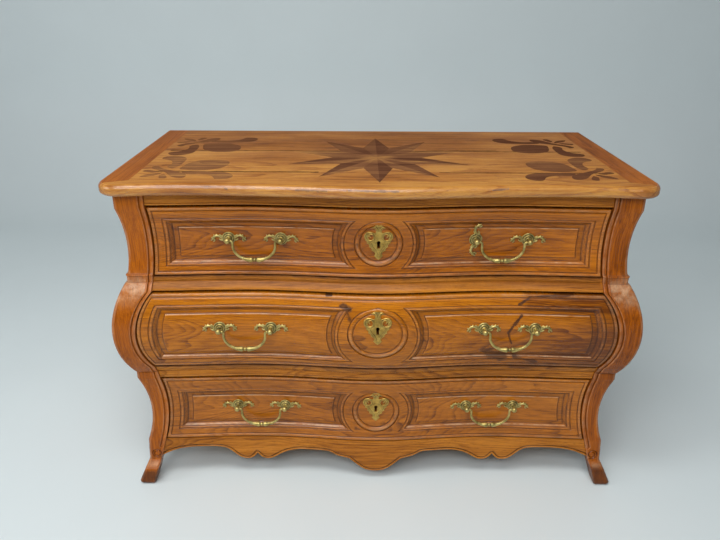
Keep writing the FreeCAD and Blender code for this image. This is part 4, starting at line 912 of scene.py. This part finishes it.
def stileShell(s, mend):
    foot, (blockZ, blockOut), (beadZ, beadOut) = (np.array(s[key], float).T for key in ("foot", "block", "bead"))
    lowZ, bellyZ, neckZ = (np.linspace(*s[key]) for key in ("low", "belly", "neck"))
    bellyZ = np.sort(join([bellyZ, s["mendRows"]]))
    flat = join([foot, lowZ, blockZ, bellyZ, beadZ, neckZ, s["head"]])
    z = flat[:, None]
    above = [blockOut, bellyOut(bellyZ), beadOut, neckOut(neckZ), np.full(len(s["head"]), s["headOut"])]
    outFront, outSide = (join([np.interp(foot, *np.array(s[key]).T), out(lowZ)] + above)[:, None]
                         for key, out in (("footFront", lowFrontOut), ("footSide", lowOut)))
    inner = np.select([flat > end for end, _ in s["inner"]], [reach(flat) for _, reach in s["inner"]])[:, None]
    outer, front = s["half"] + outSide, -frontDepth - outFront
    back = np.interp(flat, *s["back"])[:, None]
    strip = np.clip((z - s["stripFoot"][0]) / (s["stripFoot"][1] - s["stripFoot"][0]), 0, 1)
    strip = strip * strip * (3 - 2 * strip)
    small = s["thin"] + (1 - s["thin"]) * strip
    arris = s["arris"] * (s["arrisFoot"] + (1 - s["arrisFoot"]) * strip)
    profile = table(s["strip"], 4)
    lipY = front + profile[0, 1] * np.maximum(strip, s["lip"])
    columns, dirt, wearAndHighlight = [], [], []

    def column(x, y, dirtAndShadeMask=0.0, worn=0.0):
        columns.append(grid(x, y, z))
        dirt.append(dirtAndShadeMask + 0 * z)
        wearAndHighlight.append(worn + 0 * z)

    for share in s["inside"]:
        column(inner, back + share * (lipY - back), s["hiddenDirt"])
    for inset, depth, dirtAndShadeMask, worn in profile:
        depth = depth * np.maximum(strip, s["lip"] if inset < s["lipWide"] else 0)
        column(inner + inset * small, front + depth, dirtAndShadeMask * strip, worn)
    # painted highlight: shine lightens the face at the belly top and the instep, and more on the arris
    shine = sum(bell(z, level, spread) * share for level, spread, share in s["shine"])
    start, stop = inner + profile[-1, 0] * small, outer - arris
    for share in np.linspace(0, 1, s["face"])[1:]:
        column(start + share * (stop - start), front, 0.0, shine)
    worn, lit = s["arrisWearAndHighlight"]
    for turn in np.linspace(0, math.pi / 2, s["corner"])[1:]:
        column(stop + arris * math.sin(turn), front + arris * (1 - math.cos(turn)), 0.0, worn + shine * lit)
    for share in s["outside"]:
        column(outer, front + arris + share * (back - front - arris))
    for share in s["behind"]:
        column(outer + share * (inner - outer), back, s["hiddenDirt"])
    points, dirt, wearAndHighlight = (join(parts, axis=1) for parts in (columns, dirt, wearAndHighlight))

    facing = slice(len(s["inside"]), 1 + len(profile) + s["face"] + s["corner"])
    cut, boss = scrollCut(s["volute"], points[:, facing, 0], points[:, facing, 2])
    points[:, facing, 1] += s["volute"]["deep"] * cut - s["volute"]["lift"] * boss
    dirt[:, facing] = np.maximum(dirt[:, facing], s["volute"]["dirt"] * cut)
    if mend:
        seam = s["mend"]["level"] + s["mend"]["tilt"] * (points[:, :, 0] - s["mend"]["about"])
        dirt = np.maximum(dirt, s["mend"]["dirt"] * bell(points[:, :, 2], seam, s["mend"]["width"]))
    for height, fade, share in ([s["mendToe"]] if mend else []) + [s["toe"]]:
        dirt = np.maximum(dirt, share * np.clip((height - z) / fade, 0, 1))
    for height, spread, share in s["lines"]:
        dirt = np.maximum(dirt, share * bell(z, height, spread))
    shell = Shell()
    shell.bar(points, dirt, wearAndHighlight)
    return shell


for side in ("right", "left"):
    shell = stileShell(stile, side == "right")
    if side == "left":
        shell.flip()
    material = wood["Stile" + side.capitalize()]
    shell.piece("swelling_stile_" + side, material, "carcass", ["stile_front_" + side], "wood_case")
print("stiles made")


# bails, swept along their bar

bail = {
    "spacing": 127.0, "half": 51.0, "shoulder": 4.8, "straight": 12.0, "drop": 47.5, "wide": 42.0, "pin": 66.0,
    "neck": (1.4, 0.3), "step": 0.8, "pinRadius": 1.95, "sides": 20, "turnPoints": (9, 4, 44),
    "standOff": 24.4, "ball": 4.0,
    # distance along the bar from its middle, radius, dirt
    "swell": [(0, 4.8), (1.5, 4.9), (2.2, 4.3, .3), (2.7, 3.2, .8), (3.6, 3.1, .8), (4.2, 4.0, .4), (5.2, 6.0),
              (7.4, 6.7), (11, 6.5), (16, 5.5), (22, 4.4), (27, 3.8, .2), (28, 4.6), (29.6, 4.7), (30.8, 3.6, .5),
              (34, 3.5), (58, 3.3), (80, 2.9)],
}


def bailLine(b):
    w, s, bend, wide = b["half"], b["shoulder"], b["drop"] - b["straight"], b["wide"]
    quarter = math.pi / 2
    tight, short, wideTurn = b["turnPoints"]
    half = [(b["pin"], 0)] + [(w + s + x, 0) for x in b["neck"]]
    half += [(w + s - s * math.sin(a), -s + s * math.cos(a)) for a in np.linspace(0, quarter, tight)]
    half += [(w, -z) for z in np.linspace(s, b["straight"], short)[1:]]
    half += [(w - wide + wide * math.cos(a), -b["straight"] - bend * math.sin(a))
             for a in np.linspace(0, quarter, wideTurn)[1:]]
    half += [(x, -b["drop"]) for x in np.arange(w - wide - 1, 0.1, -b["step"])]
    half = np.array(half + [(0, -b["drop"])])
    away = lengths(half[::-1])[::-1]
    places, *shares = table(b["swell"], 3).T
    thick, dirt = (np.interp(away, places, values) for values in shares)
    thick[:2] = b["pinRadius"]
    return [join([part, (part * flip)[-2::-1]]) for part, flip in ((half, (-1, 1)), (thick, 1), (dirt, 1))]


def newTree(name, inputs, output):
    tree = bpy.data.node_groups.new(name, "GeometryNodeTree")
    keys = {}
    for key, kind in inputs.items():
        socket = tree.interface.new_socket(key, in_out="INPUT", socket_type="NodeSocket" + kind)
        keys[key] = socket.identifier
    tree.interface.new_socket(output, in_out="OUTPUT", socket_type="NodeSocketGeometry")
    return tree, keys, tree.nodes.new("NodeGroupInput").outputs


def chain(tree, kind, inputs):
    return wire(tree, "GeometryNode" + kind, inputs).outputs[0]


def endTree(tree, shape, steps, metal):
    for kind in steps:
        shape = chain(tree, kind, {"Geometry": shape})
    shape = chain(tree, "SetMaterial", {"Geometry": shape, "Material": metal})
    tree.links.new(shape, tree.nodes.new("NodeGroupOutput").inputs[0])


def bailTree():
    inputs = {"Line": "Geometry", "Sides": "Int", "Place": "Vector", "Metal": "Material"}
    tree, keys, given = newTree("bailBar", inputs, "Bar")
    thick = wire(tree, "GeometryNodeInputNamedAttribute", {"Name": "thick"}, data_type="FLOAT").outputs[0]
    line = chain(tree, "MeshToCurve", {"Mesh": given["Line"]})
    ring = chain(tree, "CurvePrimitiveCircle", {"Resolution": given["Sides"], "Radius": 1.0})
    bar = chain(tree, "CurveToMesh", {"Curve": line, "Profile Curve": ring, "Scale": thick, "Fill Caps": True})
    bar = chain(tree, "Transform", {"Geometry": bar, "Translation": given["Place"]})
    endTree(tree, bar, ("SetShadeSmooth", "RealizeInstances"), given["Metal"])
    return tree, keys


def seenMesh(piece):
    # the mesh as its modifiers leave it; the piece itself goes
    mesh = bpy.data.meshes.new_from_object(piece.evaluated_get(bpy.context.evaluated_depsgraph_get()))
    piece.modifiers.clear()
    bpy.data.objects.remove(piece)
    return mesh


def grown(mesh, tree, keys, values):
    piece = link("growing", mesh)
    run = piece.modifiers.new("grow", "NODES")
    run.node_group = tree
    for name, value in values.items():
        run[keys[name]] = value
    return seenMesh(piece)


def makeBails(b):
    line, thick, dirt = bailLine(b)
    tree, keys = bailTree()
    for name, o in fronts.items():
        across, up = o["handle"]
        depth = float(b["ball"] - b["standOff"] - frontDepth - o["out"](up) - serpentine(across))
        for side, sign in (("left", -1), ("right", 1)):
            mesh = bpy.data.meshes.new("bailLine")
            points = [(x * mm, 0, z * mm) for x, z in line]
            mesh.from_pydata(points, [(i, i + 1) for i in range(len(points) - 1)], [])
            addShare(mesh, "thick", thick * mm)
            addShare(mesh, "dirtAndShadeMask", dirt)
            place = Vector((sign * across, depth, up)) * mm
            bar = grown(mesh, tree, keys, {"Sides": b["sides"], "Place": place, "Metal": brass})
            node = "bail_" + name + "_" + side
            settle(bar, "cast_" + node, node, [node])


makeBails(bail)
print("bails made")


# cast brass: overlapping forms under one skin

def circle(sides):
    turn = np.linspace(0, 2 * math.pi, sides, endpoint=False)
    return np.cos(turn), np.sin(turn)


def tube(shell, path, flat=0.8, sides=10):
    # path of (across, up, height, radius)
    ahead = np.gradient(path[:, :2], axis=0)
    ahead /= np.linalg.norm(ahead, axis=1, keepdims=True)
    cos, sin = circle(sides)
    across, up, height, radius = (path[:, i:i + 1] for i in range(4))
    wide = radius * cos
    shell.bar(grid(across - ahead[:, 1:] * wide, up + ahead[:, :1] * wide, height + radius * sin * flat))


def turnedDisc(shell, profile, centre=(0, 0, 0), sides=56):
    # profile of (radius, height)
    profile = np.asarray(profile, float)
    cos, sin = circle(sides)
    radius, height = profile[:, :1], profile[:, 1:]
    shell.patch(grid(centre[0] + radius * cos, centre[1] + radius * sin, centre[2] + height), ringed=True)


def knob(shell, centre, radius, flat=0.8):
    turns = np.linspace(0, math.pi, 9)
    turnedDisc(shell, grid(radius * np.sin(turns), radius * flat * np.cos(turns)), centre, 14)


castLook = {"soft": 0.5, "rounds": 3, "dirt": 14, "wearAndHighlight": 7, "sharp": 80, "merge": 0.0001}


def castSkin(shell, voxel, rounds):
    rough = link("rough", shell.mesh("rough"))
    skin = rough.modifiers.new("skin", "REMESH")
    skin.mode = "VOXEL"
    skin.voxel_size = voxel * mm
    soft = rough.modifiers.new("soft", "SMOOTH")
    soft.iterations, soft.factor = rounds, castLook["soft"]
    mesh = seenMesh(rough)
    count = len(mesh.vertices)
    points, normals, ends = np.empty(count * 3), np.empty(count * 3), np.empty(len(mesh.edges) * 2, int)
    mesh.vertices.foreach_get("co", points)
    mesh.vertex_normals.foreach_get("vector", normals)
    mesh.edges.foreach_get("vertices", ends)
    points, normals, ends = points.reshape(-1, 3) / mm, normals.reshape(-1, 3), ends.reshape(-1, 2)
    faces = [list(face.vertices) for face in mesh.polygons]
    bpy.data.meshes.remove(mesh)

    def around(values):
        total, share = np.zeros_like(values), np.zeros(count)
        for a, b in ((0, 1), (1, 0)):
            np.add.at(total, ends[:, a], values[ends[:, b]])
            np.add.at(share, ends[:, a], 1)
        return total / (share[:, None] if values.ndim > 1 else share)

    hollow = ((around(points) - points) * normals).sum(axis=1) / voxel
    for _ in range(castLook["rounds"]):
        hollow = (hollow + around(hollow)) / 2
    return points, faces, np.clip(hollow * castLook["dirt"], 0, 1), np.clip(-hollow * castLook["wearAndHighlight"], 0, 1)


def castPiece(kind, name, parts, material):
    shell = Shell()
    for part in parts:
        shell.loose(*part)
    shell.piece("cast_" + kind + name, material, "drawer_" + name, [kind + name], "brass",
                castLook["sharp"], castLook["merge"])


rosette = {
    "voxel": 0.62, "rounds": 3, "seat": 3.7, "turned": -83.0, "step": 0.9,
    "dome": [(0, 0), (16, 0), (16.2, 1.6), (15.4, 3.0), (14.2, 3.2), (13.2, 1.9), (12.3, 2.0), (11.5, 4.4), (10.3, 5.8),
             (9.3, 5.8), (8.5, 4.5), (7.8, 4.8), (7.2, 7.8), (6.4, 9.2), (0, 9.4)],
    "rings": (12.7, 8.2), "ringWidth": 0.9,
    # across, up, height, radius
    "scrolls": [[(11, -1.6, 1.4, 3.0), (16, 0.8, 1.7, 2.8), (21, 4.4, 2.2, 2.8), (26.5, 6.4, 2.5, 3.1),
                 (32, 5.4, 2.5, 3.2), (36.6, 1.4, 2.3, 3.0), (39.8, -3.2, 2.0, 2.4), (42.4, -6.2, 1.6, 1.2)],
                [(37, 0.6, 2.0, 2.4), (34, -2.6, 1.8, 2.1), (34.6, -6.6, 1.7, 1.9), (38, -8.0, 1.5, 1.4)],
                [(14, 3.2, 1.2, 2.2), (18.4, 6.8, 1.4, 2.1), (21.8, 9.6, 1.2, 1.2)],
                [(13, -5, 1.2, 2.4), (18, -5.0, 1.4, 2.2), (23, -1.4, 1.5, 1.6)]],
    "knobs": [(28.4, 9.6, 1.6, 1.9), (34.6, 8.2, 1.5, 1.6), (40.6, 1.8, 1.4, 1.6)],
}


def makeRosettes(r):
    form = Shell()
    turnedDisc(form, r["dome"])
    for sign in (1, -1):
        for path in r["scrolls"]:
            tube(form, smoothRun(np.array(path) * (sign, 1, 1, 1), r["step"]))
        for across, up, height, radius in r["knobs"]:
            knob(form, (sign * across, up, height), radius)
    points, faces, dirt, wearAndHighlight = castSkin(form, r["voxel"], r["rounds"])
    reach = np.hypot(points[:, 0], points[:, 1])
    for ring in r["rings"]:
        dirt = np.maximum(dirt, bell(reach, ring, r["ringWidth"]))
    for name, o in fronts.items():
        middle, up = o["handle"]
        parts = []
        for span in [sign * (middle + half * bail["spacing"] / 2) for sign in (-1, 1) for half in (-1, 1)]:
            turn = math.radians(r["turned"] if name == "high" and 0 < span < middle else 0)
            x = span + points[:, 0] * math.cos(turn) + points[:, 1] * math.sin(turn)
            z = up - points[:, 0] * math.sin(turn) + points[:, 1] * math.cos(turn)
            parts.append((frontPoints(o, x, z, r["seat"] - np.maximum(points[:, 2], 0)), faces, dirt, wearAndHighlight))
        castPiece("rosettes_", name, parts, brass)


makeRosettes(rosette)

keyPlate = {
    "voxel": 0.5, "rounds": 2, "seat": 1.7, "thick": 1.6, "step": 0.9, "ribStep": 1.0, "ribFlat": 0.7,
    "outline": [(0, 44.4), (3.4, 46.4), (7.6, 45.4), (10.6, 42.4), (13.6, 40.6), (17.4, 38), (12.6, 37.2),
                (8.6, 34.8), (6.8, 31), (7.8, 25.6), (10.8, 25.2), (14.6, 27), (20, 28.8), (26.4, 28.4), (31.8, 25),
                (34.6, 19.2), (34.6, 12.4), (31.8, 6.6), (27.6, 2.2), (28.8, -0.8), (27.4, -2.4), (24, -4.2),
                (22.2, -8), (23.2, -10.6), (21.8, -12), (18.4, -13.8), (16.4, -17.4), (17, -19.8), (15.4, -21),
                (11.4, -23), (8.8, -26.4), (8, -30), (10.6, -33.6), (8.6, -35.8), (6, -38.6), (3, -41.6), (0, -43.4)],
    "corners": (5, 9, 18, 20, 22, 24, 26, 28, 31, 33),
    # across, up, half width, half height
    "eye": (18.8, 14.2, 6.0, 7.0), "eyePoints": 26, "keyPoints": 34,
    # across, up, height, radius
    "ribs": [[(8.4, 24.6, 1.6, 1.2), (14, 25.6, 1.8, 1.4), (22, 26.8, 1.8, 1.5), (29.6, 23.8, 1.8, 1.5),
              (32.6, 17, 1.8, 1.5), (30.6, 9.6, 1.8, 1.4), (24.6, 5.6, 1.8, 1.4), (16.6, 5.8, 1.8, 1.4),
              (11.4, 10.4, 1.8, 1.3), (11.4, 17, 1.8, 1.3), (15.4, 21.6, 1.7, 1.3), (21, 21.4, 1.6, 1.4),
              (23, 18, 1.4, 1.5), (20.4, 15.4, 1.3, 1.4), (19.4, 12.6, 1.2, 1.0)],
             [(2, 30, 1.6, 1.4), (4.4, 36, 1.8, 1.6), (8.4, 40, 1.8, 1.6), (15.4, 38.4, 1.4, 1.1)],
             [(20, -1, 1.4, 1.2), (14.6, -11, 1.6, 1.3), (7, -21, 1.6, 1.3), (4, -30, 1.6, 1.3)]],
    "pins": [(0, 39.4), (28.4, 17.6), (-28.4, 17.6), (0, -36)], "pinRadius": 1.7, "pinFlat": 0.6, "pinSink": 0.1,
}


def plateForm(p):
    half = cornered(p["outline"], p["corners"], p["step"])
    loops = [join([side, (side * (-1, 1))[-2:0:-1]]) for side in (half, grid(*keyholeHalf(0.0, p["keyPoints"])))]
    across, up, wide, tall = p["eye"]
    cos, sin = circle(p["eyePoints"])
    loops += [grid(sign * across + wide * cos, up + tall * sin) for sign in (1, -1)]
    work = bmesh.new()
    for loop in loops:
        verts = [work.verts.new((x, z, 0)) for x, z in loop]
        for a, b in zip(verts, verts[1:] + verts[:1]):
            work.edges.new((a, b))
    bmesh.ops.triangle_fill(work, use_beauty=True, edges=work.edges[:])
    raised = bmesh.ops.extrude_face_region(work, geom=work.faces[:])["geom"]
    bmesh.ops.translate(work, verts=[v for v in raised if isinstance(v, bmesh.types.BMVert)], vec=(0, 0, p["thick"]))
    work.verts.index_update()
    form = Shell()
    form.loose(np.array([v.co[:] for v in work.verts]), [[v.index for v in face.verts] for face in work.faces])
    work.free()
    for rib in p["ribs"]:
        for sign in (1, -1):
            tube(form, smoothRun(np.array(rib) * (sign, 1, 1, 1), p["ribStep"]), p["ribFlat"])
    return castSkin(form, p["voxel"], p["rounds"])


def pinTree(p):
    inputs = {"Places": "Geometry", "Radius": "Float", "Metal": "Material"}
    tree, keys, given = newTree("platePins", inputs, "Pins")
    head = chain(tree, "MeshUVSphere", {"Segments": 12, "Rings": 8, "Radius": given["Radius"]})
    head = chain(tree, "Transform", {"Geometry": head, "Scale": (1, p["pinFlat"], 1)})
    pins = chain(tree, "InstanceOnPoints", {"Points": given["Places"], "Instance": head})
    endTree(tree, pins, ("RealizeInstances", "SetShadeSmooth"), given["Metal"])
    return tree, keys


def makePlates(p):
    points, faces, dirt, wearAndHighlight = plateForm(p)
    tree, keys = pinTree(p)
    x, z = np.array(p["pins"], float).T
    for name, o in fronts.items():
        placed = frontPoints(o, points[:, 0], o["key"] + points[:, 1], p["seat"] - points[:, 2])
        castPiece("key_plate_", name, [(placed, faces, dirt, wearAndHighlight)], plateBrass)
        mesh = bpy.data.meshes.new("pinPlaces")
        places = frontPoints(o, x, o["key"] + z, p["seat"] - p["thick"] - p["pinSink"]) * mm
        mesh.from_pydata(places.tolist(), [], [])
        pins = grown(mesh, tree, keys, {"Radius": p["pinRadius"] * mm, "Metal": brass})
        settle(pins, "plate_pins_" + name, "drawer_" + name, [])


makePlates(keyPlate)
print("rosettes and key plates made")
